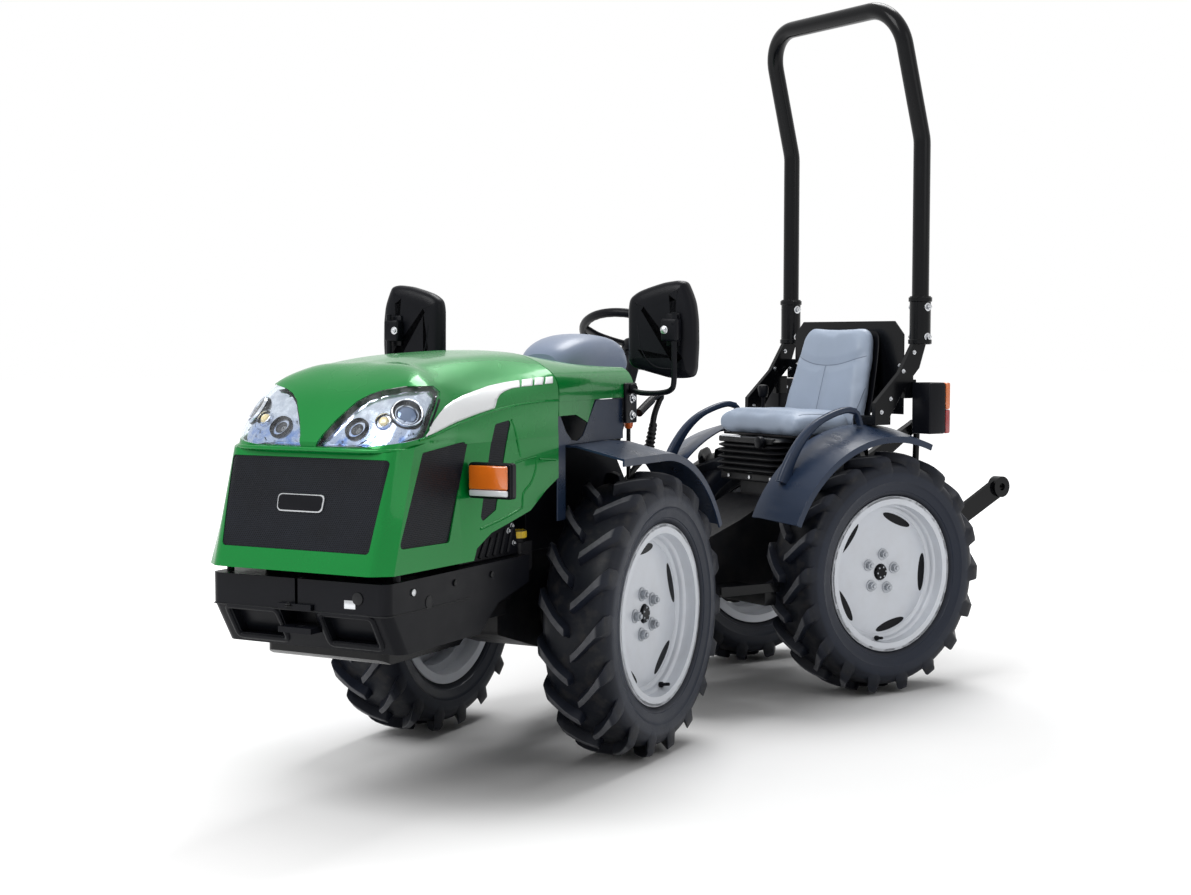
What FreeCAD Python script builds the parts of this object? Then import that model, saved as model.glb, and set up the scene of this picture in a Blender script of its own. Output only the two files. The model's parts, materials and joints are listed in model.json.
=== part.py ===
"""Articulated compact tractor with four equal wheels, bent at its centre joint as it is parked.

Row frame, millimetres: +Z up, +Y to the rear along the rear unit, +X to the tractor's left side,
z = 0 on the ground and the origin below the middle of the whole machine.
Every sub-part is first drawn in its own unit's straight frame, whose Z axis is the kingpin and
whose -Y points ahead, and is then set in place: the rear unit is only shifted, and the front unit
is also turned about the kingpin by pose_angle.
"""

import FreeCAD, Part  # noqa: E401  this order: Part needs FreeCAD loaded

import math
import os

import Sketcher
from FreeCAD import Placement, Rotation, Vector

DOC = FreeCAD.newDocument("tractor")

# ---------------------------------------------------------------- driving dimensions (mm, degrees)
DIMENSIONS = [
    # the two units and how they stand
    ("pose_angle", 29), ("shift_x", -278.57), ("shift_y", 82.88),
    ("front_base", 605), ("rear_base", 640), ("track_half", 305), ("axle_height", 350),
    # wheels
    ("tyre_radius", 350), ("tyre_half_width", 90), ("tread_half_width", 62), ("lug_depth", 26),
    ("lug_width", 28), ("lug_count", 18), ("lug_sweep", 85), ("lug_drop", 23),
    ("rim_radius", 224), ("rim_half_width", 76), ("flange_lip", 6), ("bead_radius", 206),
    ("well_radius", 186), ("rim_wall", 6), ("disc_offset", 28), ("disc_wall", 9),
    ("slot_count", 5), ("slot_circle", 165), ("slot_length", 95), ("slot_width", 17),
    ("stud_circle", 104), ("stud_count", 5), ("nut_radius", 11), ("nut_height", 13),
    ("hub_bore", 24), ("hub_radius", 60), ("hub_depth", 33), ("tyre_seat_gap", 0.5),
    # axles
    ("housing_radius", 46), ("drum_radius", 92), ("drum_width", 70), ("hub_gap", 0.3),
    # fenders
    ("fender_inner_radius", 424), ("fender_outer_radius", 396), ("fender_wall", 5),
    ("fender_inner_x", 222), ("fender_ridge_x", 262), ("fender_outer_x", 390), ("shelf_front", -826),
    ("guard_top", "=axle_height + fender_inner_radius"), ("guard_gap", 0.3),
    ("lamp_width", 78), ("lamp_height", 151), ("rail_radius", 11),
    # rear unit
    ("gearbox_half", 105), ("gearbox_front", 175), ("gearbox_back", 800), ("gearbox_floor", "=axle_height - 120"),
    ("gearbox_top", 560), ("lift_half", 92), ("lift_top", 690),
    ("seat_half", 205), ("seat_front", 430), ("seat_rear", 690), ("seat_top", 812),
    ("cushion_wall", 70), ("back_half", 198), ("back_top", 1070), ("back_lean", 15),
    ("back_wall", 60), ("bellows_half", 150), ("bellows_floor", 625), ("bellows_count", 6),
    ("panel_half", 250), ("panel_y", 800), ("panel_top", 1078),
    ("hoop_half", 297), ("leg_half", 8), ("hoop_tube", 25), ("hoop_plane", 820), ("hoop_top", 1985),
    ("kink_height", 1607), ("top_plane", 722), ("corner_radius", 115), ("sleeve_top", 1150),
    ("sleeve_floor", 1008), ("sleeve_radius", 31), ("sleeve_gap", 0.3),
    # hitch
    ("link_length", 658), ("link_rise", 30), ("link_pivot_y", 700), ("link_pivot_z", "=axle_height - 120"),
    ("link_pivot_x", 128), ("link_eye_x", 188), ("link_depth", 62), ("link_wall", 14),
    ("link_bore", 11.5), ("arm_length", 250), ("arm_shift", 20), ("arm_lift", 400),
    ("arm_x", 122), ("pto_radius", 17.5), ("pto_height", 430), ("pto_length", 85),
    ("drawbar_bore", 13),
    # centre joint
    ("kingpin_radius", 24), ("yoke_radius", 62), ("yoke_floor", 302), ("yoke_top", 430),
    ("roll_radius", 42), ("roll_height", 366), ("running_gap", 0.05), ("lug_plate", 34),
    ("cylinder_z", 236), ("barrel_x", -135), ("barrel_y", 55), ("eye_x", -112), ("eye_y", -330),
    ("rod_radius", 11), ("barrel_floor", 50), ("barrel_end", 256), ("ram_stroke", 162.5),
    # front unit
    ("frame_half", 90), ("frame_floor", 262), ("frame_top", 520), ("frame_back", -82),
    ("frame_front", -900), ("rail_floor", 373), ("rail_top", 415),
    ("bumper_front", -1552), ("bumper_back", -985), ("bumper_half", 226), ("bumper_top", 532),
    ("bumper_floor", 381), ("bumper_wall", 40), ("bumper_corner", 22), ("bumper_depth", 95), ("pocket_depth", 22),
    ("jaw_reach", 8), ("jaw_bore", 12.5),
    ("skid_half", 155), ("skid_front", -1460), ("skid_back", -1130), ("skid_floor", 346),
    ("hood_front", -1572), ("nose_plane", -1294), ("hood_back", -888), ("hood_half", 250),
    ("fascia_half", 197), ("fascia_lean", 66), ("fascia_rise", 236), ("fascia_corner", 36),
    ("shelf_back", -1390), ("shelf_drop", 27), ("side_lean", 22),
    ("hood_floor", 549), ("crease_height", 800), ("crown_rise", 175), ("nose_reach", 222),
    ("hood_top", 998), ("hood_wall", 5), ("brim_wall", 4), ("brim_width", 28), ("hood_gap", 4), ("insert_wall", 3), ("insert_gap", 0.4),
    ("lamp_depth", 20), ("lamp_wall", 8), ("projector_radius", 30), ("dipped_radius", 25), ("cup_wall", 3), ("lamp_gap", 0.3),
    ("cowl_back", -449), ("cowl_half", 226), ("cowl_top", 958), ("cowl_floor", 877), ("cowl_wall", 5),
    ("panel_wall", 4), ("pod_half", 92), ("pod_top", 1038),
    ("steer_radius", 155), ("steer_tube", 13), ("steer_y", 20), ("steer_z", 1020),
    ("steer_tilt", 30), ("mirror_y", -570), ("mirror_x", 364.5), ("mirror_floor", 927),
    ("mirror_top", 1167), ("mirror_half", 92.5), ("mirror_wall", 40),
]


class Size:
    """A number of the sheet, or a sum worked out from such numbers: its value now and its formula."""

    def __init__(self, value, text):
        self.value, self.text = value, text

    @staticmethod
    def of(other):
        return other if isinstance(other, Size) else Size(float(other), repr(float(other)))

    def _join(self, sign, other, value):
        return Size(value, f"({self.text} {sign} {Size.of(other).text})")

    def __add__(self, other):
        return self._join("+", other, self.value + Size.of(other).value)

    def __sub__(self, other):
        return self._join("-", other, self.value - Size.of(other).value)

    def __mul__(self, other):
        return self._join("*", other, self.value * Size.of(other).value)

    def __truediv__(self, other):
        return self._join("/", other, self.value / Size.of(other).value)

    def __radd__(self, other):
        return Size.of(other) + self

    def __rsub__(self, other):
        return Size.of(other) - self

    def __rmul__(self, other):
        return Size.of(other) * self

    def __neg__(self):
        return Size(-self.value, f"(0 - {self.text})")


def cosine(angle):
    return Size(math.cos(math.radians(Size.of(angle).value)), f"cos({Size.of(angle).text})")


def sine(angle):
    return Size(math.sin(math.radians(Size.of(angle).value)), f"sin({Size.of(angle).text})")


class Sheet:
    """The spreadsheet of driving dimensions; each one is read as an attribute."""

    def __init__(self, rows):
        self.cells = DOC.addObject("Spreadsheet::Sheet", "dims")
        for line, (alias, value) in enumerate(rows, start=1):
            self.cells.set(f"A{line}", alias)
            self.cells.set(f"B{line}", str(value))
            self.cells.setAlias(f"B{line}", alias)
        DOC.recompute()

    def __getattr__(self, alias):
        return Size(float(self.cells.get(alias)), f"dims.{alias}")


d = Sheet(DIMENSIONS)


# ---------------------------------------------------------------- small modelling vocabulary
def bind(item, path, size):
    """Set a property from a size, by an expression when it comes from the sheet."""
    item.setExpression(path, Size.of(size).text)


def at(item, x=0, y=0, z=0):
    for axis, size in zip("xyz", (x, y, z)):
        bind(item, f"Placement.Base.{axis}", size)
    return item


def box(x, y, z, name="block"):
    """A block between two values on each axis."""
    item = DOC.addObject("Part::Box", name)
    for prop, (low, high) in zip(("Length", "Width", "Height"), (x, y, z)):
        bind(item, prop, Size.of(high) - low)
    return at(item, x[0], y[0], z[0])


def rod(axis, radius, start, end, where, name="round"):
    """A cylinder along x, y or z from start to end; where gives its two other coordinates."""
    item = DOC.addObject("Part::Cylinder", name)
    bind(item, "Radius", radius)
    bind(item, "Height", Size.of(end) - start)
    turn = {"x": Rotation(Vector(0, 1, 0), 90), "y": Rotation(Vector(1, 0, 0), -90), "z": Rotation()}
    item.Placement = Placement(Vector(), turn[axis])
    place = {"x": (start, *where), "y": (where[0], start, where[1]), "z": (*where, start)}
    return at(item, *place[axis])


def fuse(*items, name="joined"):
    item = DOC.addObject("Part::MultiFuse", name)
    item.Shapes = list(items)
    return item


def cut(base, *tools, name="trimmed"):
    item = DOC.addObject("Part::Cut", name)
    item.Base = base
    item.Tool = tools[0] if len(tools) == 1 else fuse(*tools)
    return item


def common(*items, name="overlap"):
    item = DOC.addObject("Part::MultiCommon", name)
    item.Shapes = list(items)
    return item


def group(*items, name="set"):
    """Several solids that don't touch, as one shape."""
    item = DOC.addObject("Part::Compound", name)
    item.Links = list(items)
    return item


def mirrored(source, name="other_side"):
    """The same thing on the other side of the unit's middle plane."""
    item = DOC.addObject("Part::Mirroring", name)
    item.Source = source
    item.Normal = Vector(1, 0, 0)
    return item


def body(name):
    return DOC.addObject("PartDesign::Body", name)


def plane_of(owner, role):
    return next(f for f in owner.Origin.OriginFeatures if f.Role == role)


# each sketch plane: its role, and which way its normal points along the remaining axis
PLANES = {"xy": ("XY_Plane", 1), "xz": ("XZ_Plane", -1), "yz": ("YZ_Plane", 1)}


def sketch(owner, plane, outlines, offset=0):
    """A sketch of closed outlines whose corners are tied to sizes; offset is along the plane's normal."""
    item = owner.newObject("Sketcher::SketchObject", "outline")
    item.AttachmentSupport = [(plane_of(owner, PLANES[plane][0]), "")]
    item.MapMode = "FlatFace"
    bind(item, "AttachmentOffset.Base.z", offset)
    for corners in outlines:
        corners = [(Size.of(a), Size.of(b)) for a, b in corners]
        first = item.GeometryCount
        points = [Vector(a.value, b.value, 0) for a, b in corners]
        count = len(points)
        for i in range(count):
            item.addGeometry(Part.LineSegment(points[i], points[(i + 1) % count]), False)
        for i in range(count):
            item.addConstraint(Sketcher.Constraint("Coincident", first + i, 2, first + (i + 1) % count, 1))
        for i, (a, b) in enumerate(corners):
            for kind, size in (("DistanceX", a), ("DistanceY", b)):
                number = item.addConstraint(Sketcher.Constraint(kind, -1, 1, first + i, 1, size.value))
                if "dims" in size.text:
                    item.setExpression(f"Constraints[{number}]", size.text)
    return item


def pad(owner, plane, outline, low, high, remove=False):
    """Extrude an outline, or cut with it, between two values along the axis normal to its plane."""
    return extrude(owner, plane, [outline], low, high, remove)


def extrude(owner, plane, outlines, low, high, remove=False):
    side = PLANES[plane][1]
    start = low if side > 0 else -Size.of(high)
    profile = sketch(owner, plane, outlines, start)
    item = owner.newObject("PartDesign::Pocket" if remove else "PartDesign::Pad", "extrusion")
    item.Profile = profile
    item.Reversed = remove
    bind(item, "Length", Size.of(high) - low)
    return item


def soften(owner, radius, chosen, chamfer=False):
    """Round the edges of the body's last feature that the test picks."""
    DOC.recompute()
    base = owner.Tip
    names = [f"Edge{n}" for n, edge in enumerate(base.Shape.Edges, start=1) if chosen(edge)]
    item = owner.newObject("PartDesign::Chamfer" if chamfer else "PartDesign::Fillet", "soft_edges")
    item.Base = (base, names)
    bind(item, "Size" if chamfer else "Radius", radius)
    return item


def along(axis):
    """Picks straight edges that run along an axis."""
    def test(edge):
        if not isinstance(edge.Curve, Part.Line):
            return False
        return abs(abs(edge.Curve.Direction[axis]) - 1) < 1e-6
    return test


def revolve(owner, corners, start=0, sweep=360):
    """Turn an outline in the x-z plane (x along the axle, z outward) about the X axis."""
    profile = sketch(owner, "xz", [corners])
    profile.AttachmentOffset = Placement(Vector(), Rotation(Vector(1, 0, 0), Size.of(start).value))
    item = owner.newObject("PartDesign::Revolution", "turned")
    item.Profile = profile
    item.ReferenceAxis = (profile, ["H_Axis"])
    bind(item, "Angle", sweep)
    return item


def polar(owner, feature, count, turn=360):
    item = owner.newObject("PartDesign::PolarPattern", "around")
    item.Originals = [feature]
    item.Axis = (feature.Profile[0] if hasattr(feature, "Profile") else feature, ["N_Axis"])
    item.Occurrences = int(Size.of(count).value)
    item.Angle = turn
    owner.Tip = item
    return item


def tube(points, radius, bend, name="tube"):
    """A round bar along straight runs joined by tangent arcs of one bend radius."""
    item = DOC.addObject("Part::Feature", name)
    item.Shape = tube_shape(points, radius, bend)
    return item


def tube_shape(points, radius, bend):
    edges = []
    last = points[0]
    for before, corner, after in zip(points, points[1:], points[2:]):
        a, b = (before - corner).normalize(), (after - corner).normalize()
        half = a.getAngle(b) / 2
        back = bend / math.tan(half)
        start, end = corner + a * back, corner + b * back
        centre = corner + (a + b).normalize() * (bend / math.sin(half))
        middle = centre + (corner - centre).normalize() * bend
        edges += [Part.LineSegment(last, start).toShape(), Part.Arc(start, middle, end).toShape()]
        last = end
    edges.append(Part.LineSegment(last, points[-1]).toShape())
    path = Part.Wire(edges)
    section = Part.Wire(Part.Circle(points[0], points[1] - points[0], radius).toShape())
    return path.makePipeShell([section], True, False)


# ---------------------------------------------------------------- finished sub-parts
NODES = []


def finish(item, label, unit, x=0, y=0, z=0, spin=0):
    """Name a sub-part and set it in its unit, at a point of the unit's straight frame."""
    if item.TypeId in ("Part::Box", "Part::Cylinder"):
        item = group(item)
    item.Label = label
    x, y = Size.of(x), Size.of(y)
    turn = d.pose_angle if unit == "front" else Size.of(0)
    item.Placement = Placement(Vector(), Rotation(Vector(0, 0, 1), turn.value + spin))
    bind(item, "Placement.Rotation.Angle", turn + spin)
    at(item, d.shift_x + x * cosine(turn) - y * sine(turn), d.shift_y + x * sine(turn) + y * cosine(turn), z)
    NODES.append(item)
    return item


# ---------------------------------------------------------------- wheels
# A wheel is drawn round the origin with its axle along X and its outer side towards +X.
def spoke(degrees):
    """The unit vector away from the axle at this angle from straight down."""
    return Vector(0, math.sin(math.radians(degrees)), -math.cos(math.radians(degrees)))


def carcass():
    """The casing under the lugs: a ring of flats, one to each lug pitch, on the tyre's section."""
    count = int(d.lug_count.value)
    seat = (d.bead_radius + d.tyre_seat_gap).value / math.cos(math.pi / count)
    crown = (d.tyre_radius - d.lug_depth).value
    rim = d.rim_radius.value
    bead, belly, tread = (d.rim_half_width - 6.5).value, d.tyre_half_width.value, d.tread_half_width.value
    half = [(bead, seat), (bead, rim + 3), (belly, (rim + crown) / 2 + 10), (tread, crown)]
    section = half + [(-x, r) for x, r in reversed(half)]
    turn = 360 / count
    stations = [[Vector(x, 0, 0) + spoke(turn * i) * r for x, r in section] for i in range(count)]
    faces = []
    for i, ring in enumerate(stations):
        after = stations[(i + 1) % count]
        for k in range(len(section)):
            n = (k + 1) % len(section)
            loop = [ring[k], ring[n], after[n], after[k], ring[k]]
            faces.append(Part.Face(Part.makePolygon(loop)))
    solid = Part.Solid(Part.Shell(faces))
    if solid.Volume < 0:
        solid.reverse()
    return solid


def lug(degrees, side):
    """One bar of the chevron: it leaves the middle of the tread and trails back to the shoulder."""
    out, back = spoke(degrees), spoke(degrees + 90)
    reach, drop, half = d.lug_sweep.value, d.lug_drop.value, (d.lug_width / 2).value
    inner, outer, top = 6, d.tyre_half_width.value - 2, d.tyre_radius.value

    def corner(x, along, up):
        return Vector(side * x, 0, 0) + back * along + out * up

    plan = [corner(inner, -half, top), corner(inner, half, top),
            corner(outer, half - reach, top - drop), corner(outer, -half - reach, top - drop)]
    depth = 2.3 * d.lug_depth.value
    return Part.Face(Part.makePolygon(plan + plan[:1])).extrude(out * -depth)


def make_tyre():
    pitch = 360 / d.lug_count.value
    lugs = [lug(pitch * (i + (side < 0) / 2), side) for side in (1, -1) for i in range(int(d.lug_count.value))]
    item = DOC.addObject("Part::Feature", "tyre_pattern")
    item.Shape = carcass().multiFuse(lugs).removeSplitter()
    return item


def lens_outline(owner, radius, length, width):
    """A sketch on the wheel's mid plane of one lens-shaped slot, its length across the radius."""
    item = sketch(owner, "yz", [])
    half, rise = length.value / 2, width.value / 2
    bow = (half ** 2 + rise ** 2) / (2 * rise)
    reach = math.degrees(math.asin(half / bow))
    for centre, start in ((radius.value + rise - bow, 90 - reach), (radius.value - rise + bow, 270 - reach)):
        circle = Part.Circle(Vector(0, centre, 0), Vector(0, 0, 1), bow)
        item.addGeometry(Part.ArcOfCircle(circle, math.radians(start), math.radians(start + 2 * reach)), False)
    item.addConstraint(Sketcher.Constraint("Coincident", 0, 1, 1, 2))
    item.addConstraint(Sketcher.Constraint("Coincident", 0, 2, 1, 1))
    return item


def make_rim():
    """Drop-centre rim, flat disc with lens slots, wheel nuts, and the hub behind the disc."""
    owner = body("rim_pattern")
    edge, lip, top, seat, well = d.rim_half_width, d.flange_lip, d.rim_radius, d.bead_radius, d.well_radius
    wall, face = d.rim_wall, d.disc_offset
    back = face - d.disc_wall
    section = [
        (-edge, top), (lip - edge, top), (lip - edge, seat), (-32, seat - 2), (-24, well), (24, well),
        (32, seat - 2), (edge - lip, seat), (edge - lip, top), (edge, top), (edge, seat - wall),
        (36, seat - 2 - wall), (30, well - wall), (face, well - wall), (face, d.hub_bore), (face - 8, d.hub_bore),
        (face - 8, 0), (face - 8 - d.hub_depth, 0), (face - 8 - d.hub_depth, d.hub_radius),
        (back, d.hub_radius), (back, well - wall), (-28, well - wall), (-36, seat - 2 - wall),
        (-edge, seat - wall)]
    revolve(owner, section)
    slot = owner.newObject("PartDesign::Pocket", "slot")
    slot.Profile = lens_outline(owner, d.slot_circle, d.slot_length, d.slot_width)
    slot.Reversed = True
    bind(slot, "Length", d.disc_offset + 5)
    polar(owner, slot, d.slot_count)
    nut = [(d.stud_circle / 2 + d.nut_radius * cosine(60 * i), d.nut_radius * sine(60 * i)) for i in range(6)]
    stud = pad(owner, "yz", nut, face - 2, face + d.nut_height)
    polar(owner, stud, d.stud_count)
    return owner


WHEELS = [("rear_left", "rear", 1, 1), ("rear_right", "rear", -1, 1),
          ("front_left", "front", 1, -1), ("front_right", "front", -1, -1)]


def make_wheels():
    tyre, rim = make_tyre(), make_rim()
    for name, unit, side, end in WHEELS:
        base = d.rear_base if unit == "rear" else -d.front_base
        spot = (side * d.track_half, base, d.axle_height)
        finish(group(tyre), f"tyre_{name}", unit, *spot)
        finish(group(rim), f"rim_{name}", unit, *spot, spin=0 if side > 0 else 180)


# ---------------------------------------------------------------- both units' axles and fenders
def axle_housings(y, start):
    """Two tubes out of the gearbox to the hubs, each with its brake drum against the gearbox."""
    end = d.track_half + d.disc_offset - 8 - d.hub_depth - d.hub_gap
    z = d.axle_height
    tube_part = rod("x", d.housing_radius, start, end, (y, z))
    drum = rod("x", d.drum_radius, start, start + d.drum_width, (y, z))
    collar = rod("x", d.hub_radius, end - 14, end, (y, z))
    side = fuse(tube_part, drum, collar)
    return group(side, mirrored(side))


def fender_section():
    """Across the tyre: flat flange, ridge, falling outer strip with a turned-down edge."""
    high, low, wall = d.fender_inner_radius, d.fender_outer_radius, d.fender_wall
    return [(d.fender_inner_x, high), (d.fender_ridge_x, high), (d.fender_outer_x, low),
            (d.fender_outer_x, low - 18), (d.fender_outer_x - wall, low - 18),
            (d.fender_outer_x - wall, low - wall), (d.fender_ridge_x, high - wall),
            (d.fender_inner_x, high - wall)]


def fender(y, start, sweep):
    """A curved mudguard, its section turned about the wheel's axle."""
    owner = body("mudguard")
    revolve(owner, fender_section(), start, sweep)
    at(owner, 0, y, d.axle_height)
    return owner


# ---------------------------------------------------------------- rear unit
def make_rear_gearbox():
    owner = body("gearbox")
    z = d.gearbox_floor
    pad(owner, "yz", [
        (d.gearbox_front, 300), (d.gearbox_front, 450), (300, 500), (420, d.gearbox_top),
        (d.gearbox_back, d.gearbox_top), (d.gearbox_back, 330), (740, z), (540, z), (470, 280), (260, 280)],
        -d.gearbox_half, d.gearbox_half)
    soften(owner, 14, along(0))
    nose = rod("y", 78, d.gearbox_front - 55, d.gearbox_front + 5, (0, d.roll_height))
    bore = rod("y", d.roll_radius + d.running_gap, d.gearbox_front - 60, d.gearbox_front + 45, (0, d.roll_height))
    seat_post = box((-70, 70), (440, 640), (d.gearbox_top - 2, 600))
    pto_guard = cut(box((-75, 75), (d.gearbox_back - 2, d.gearbox_back + 70), (470, 480)),
                    rod("z", 10, 400, 500, (0, 850)))
    finish(cut(fuse(owner, nose, seat_post, pto_guard), bore), "rear_gearbox", "rear")


def make_lift():
    """Lift housing with its cross shaft, arms, drop rods and lower links, raised as it parks."""
    y, z = d.link_pivot_y + d.arm_shift, d.link_pivot_z + d.arm_lift
    house = body("lift_block")
    pad(house, "yz", [(703, d.gearbox_top), (703, 660), (725, d.lift_top), (770, d.lift_top),
                      (798, 640), (798, d.gearbox_top)], -d.lift_half, d.lift_half)
    soften(house, 10, along(0))
    shaft = rod("x", 20, -d.lift_half - 70, d.lift_half + 70, (y, z))
    ears = [box((x, x + 12), (790, 850), (575, 640)) for x in (-38, 26)]
    eye = rod("x", 9.5, -60, 60, (832, 612))
    finish(cut(fuse(house, shaft, *ears), eye), "lift_housing", "rear")

    length, rise = d.arm_length, d.link_rise
    arm = body("arm")
    pad(arm, "yz", [(-30, -30), (length, -16), (length + 16, -16), (length + 16, 16), (length, 16), (-30, 30)],
        -11, 11)
    boss = rod("x", 36, -17, 17, (0, 0))
    raw = cut(fuse(arm, boss), rod("x", 20.3, -30, 30, (0, 0)), rod("x", 8, -30, 30, (length, 0)))
    left = group(raw)
    left.Placement = Placement(Vector(), Rotation(Vector(1, 0, 0), rise.value))
    bind(left, "Placement.Rotation.Angle", rise)
    at(left, d.arm_x + 22, y, z)
    finish(group(left, mirrored(left)), "lift_arms", "rear")

    end_y, end_z = y + length * cosine(rise), z + length * sine(rise)
    foot_y, foot_z = end_y - d.arm_shift, end_z - d.arm_lift
    foot_x = d.link_pivot_x + (d.link_eye_x - d.link_pivot_x) * length / d.link_length
    top_x = d.arm_x + 22 + 22
    start = Vector(top_x.value, end_y.value, end_z.value)
    stop = Vector((foot_x + 22).value, foot_y.value, foot_z.value)
    bar = DOC.addObject("Part::Feature", "drop_rod")
    along_bar = (stop - start).normalize()
    first, last = start + along_bar * 10, stop - along_bar * 12
    bar.Shape = Part.makeCylinder(10, (last - first).Length, first, last - first)
    top_pin = rod("x", 7.7, top_x - 33, top_x + 8, (end_y, end_z))
    eye_top = rod("x", 20, top_x - 10, top_x + 8, (end_y, end_z))
    foot_eye = rod("x", 20, foot_x + 14, foot_x + 30, (foot_y, foot_z))
    left_rod = fuse(bar, top_pin, eye_top, foot_eye)
    finish(group(left_rod, mirrored(left_rod)), "lift_rods", "rear")

    half, reach = d.link_depth / 2, d.link_length
    eye_y, eye_z = d.link_pivot_y + reach * cosine(rise), d.link_pivot_z + reach * sine(rise)
    splay = (d.link_eye_x - d.link_pivot_x).value
    link = body("link")
    pad(link, "yz", [(0, 6 - half), (math.hypot(reach.value, splay), -half), (math.hypot(reach.value, splay), half),
                     (0, half - 6)], -d.link_wall / 2, d.link_wall / 2)
    lean = math.degrees(math.atan2(splay, reach.value))
    bar = group(link)
    bar.Placement = Placement(Vector(), Rotation(Vector(1, 0, 0), rise.value).multiply(
        Rotation(Vector(0, 0, 1), -lean)))
    at(bar, d.link_pivot_x, d.link_pivot_y, d.link_pivot_z)
    ends = [(d.link_pivot_x, d.link_pivot_y, d.link_pivot_z, 14, 12), (d.link_eye_x, eye_y, eye_z, d.link_bore, 16)]
    rings = [rod("x", half + 2, x - width, x + width, (y, z)) for x, y, z, hole, width in ends]
    holes = [rod("x", hole + d.running_gap, x - 40, x + 40, (y, z)) for x, y, z, hole, width in ends]
    side = cut(fuse(bar, *rings), *holes)
    finish(group(side, mirrored(side)), "lower_links", "rear")


def make_rear_bits():
    pto = rod("y", d.pto_radius, d.gearbox_back, d.gearbox_back + d.pto_length, (0, d.pto_height))
    finish(group(pto), "pto_shaft", "rear")
    tongue = box((-35, 35), (d.gearbox_back + 0, 905), (330, 350))
    finish(cut(tongue, rod("z", d.drawbar_bore, 300, 400, (0, 875))), "drawbar", "rear")
    pin_y, pin_z = d.link_pivot_y, d.link_pivot_z
    stubs = rod("x", 14, d.gearbox_half, d.link_pivot_x + 16, (pin_y, pin_z))
    finish(group(axle_housings(d.rear_base, d.gearbox_half), stubs, mirrored(stubs)), "rear_axle", "rear")
    guard = fender(d.rear_base, -22, 88)
    finish(group(guard, mirrored(guard)), "rear_fenders", "rear")


def make_roll_bar():
    """The bent hoop stands in two sleeves; each sleeve's leg bends in to the axle housing."""
    x, y, bend = d.hoop_half.value, d.hoop_plane.value, d.corner_radius.value
    kink, top, ahead = d.kink_height.value, d.hoop_top.value, d.top_plane.value
    foot = (d.sleeve_floor + 15).value
    route = [(-x, y, foot), (-x, y, kink), (-x + 4, ahead, top), (x - 4, ahead, top), (x, y, kink), (x, y, foot)]
    points = [Vector(*p) for p in route]
    hoop = DOC.addObject("Part::Feature", "hoop_bar")
    hoop.Shape = tube_shape(points, d.hoop_tube.value, bend)
    finish(hoop, "rops_hoop", "rear")

    sleeve = cut(rod("z", d.sleeve_radius, d.sleeve_floor, d.sleeve_top, (d.hoop_half, d.hoop_plane)),
                 rod("z", d.hoop_tube + d.sleeve_gap, d.sleeve_floor + 15, d.sleeve_top + 5,
                     (d.hoop_half, d.hoop_plane)))
    over = d.guard_top + d.guard_gap
    leg = body("leg")
    pad(leg, "yz", [(788, d.sleeve_floor + 3), (838, d.sleeve_floor + 3), (812, over + 164), (761, over + 114),
                    (700, over + 26), (640, over + 26), (640, over + 64), (734, over + 151)],
        d.hoop_half - d.leg_half, d.hoop_half + d.leg_half)
    web = body("web")
    foot = d.axle_height + d.drum_radius + 4
    pad(web, "xz", [(d.gearbox_half, foot), (180, foot), (211, 500), (211, 715), (221, 735), (221, over),
                    (d.hoop_half + d.leg_half, over), (d.hoop_half + d.leg_half, over + 26), (209, over + 26), (209, 735),
                    (190, 715), (190, 530), (170, 510), (d.gearbox_half, 510)], 640, 700)
    lamp_arm = box((d.hoop_half - d.leg_half, d.hoop_half + d.leg_half), (755, 800), (over + 76, over + 131))
    side = fuse(sleeve, leg, web, lamp_arm)
    finish(group(side, mirrored(side)), "rops_frame", "rear")

    panel = body("panel")
    half, top = d.panel_half, d.panel_top
    pad(panel, "xz", [(-half, 800), (half, 800), (half, top - 40), (half - 40, top), (40 - half, top),
                      (-half, top - 40)], d.panel_y, d.panel_y + 4)
    for x in (-170, -60, 50):
        pad(panel, "xz", [(x, top - 90), (x + 90, top - 90), (x + 90, top - 60), (x, top - 60)],
            d.panel_y - 5, d.panel_y + 10, remove=True)
    brackets = [box((a, b), (d.panel_y, d.panel_y + 4), (900, 960)) for a, b in
                ((d.panel_half, d.hoop_half - 8), (8 - d.hoop_half, -d.panel_half))]
    finish(fuse(panel, *brackets), "rear_panel", "rear")


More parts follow.
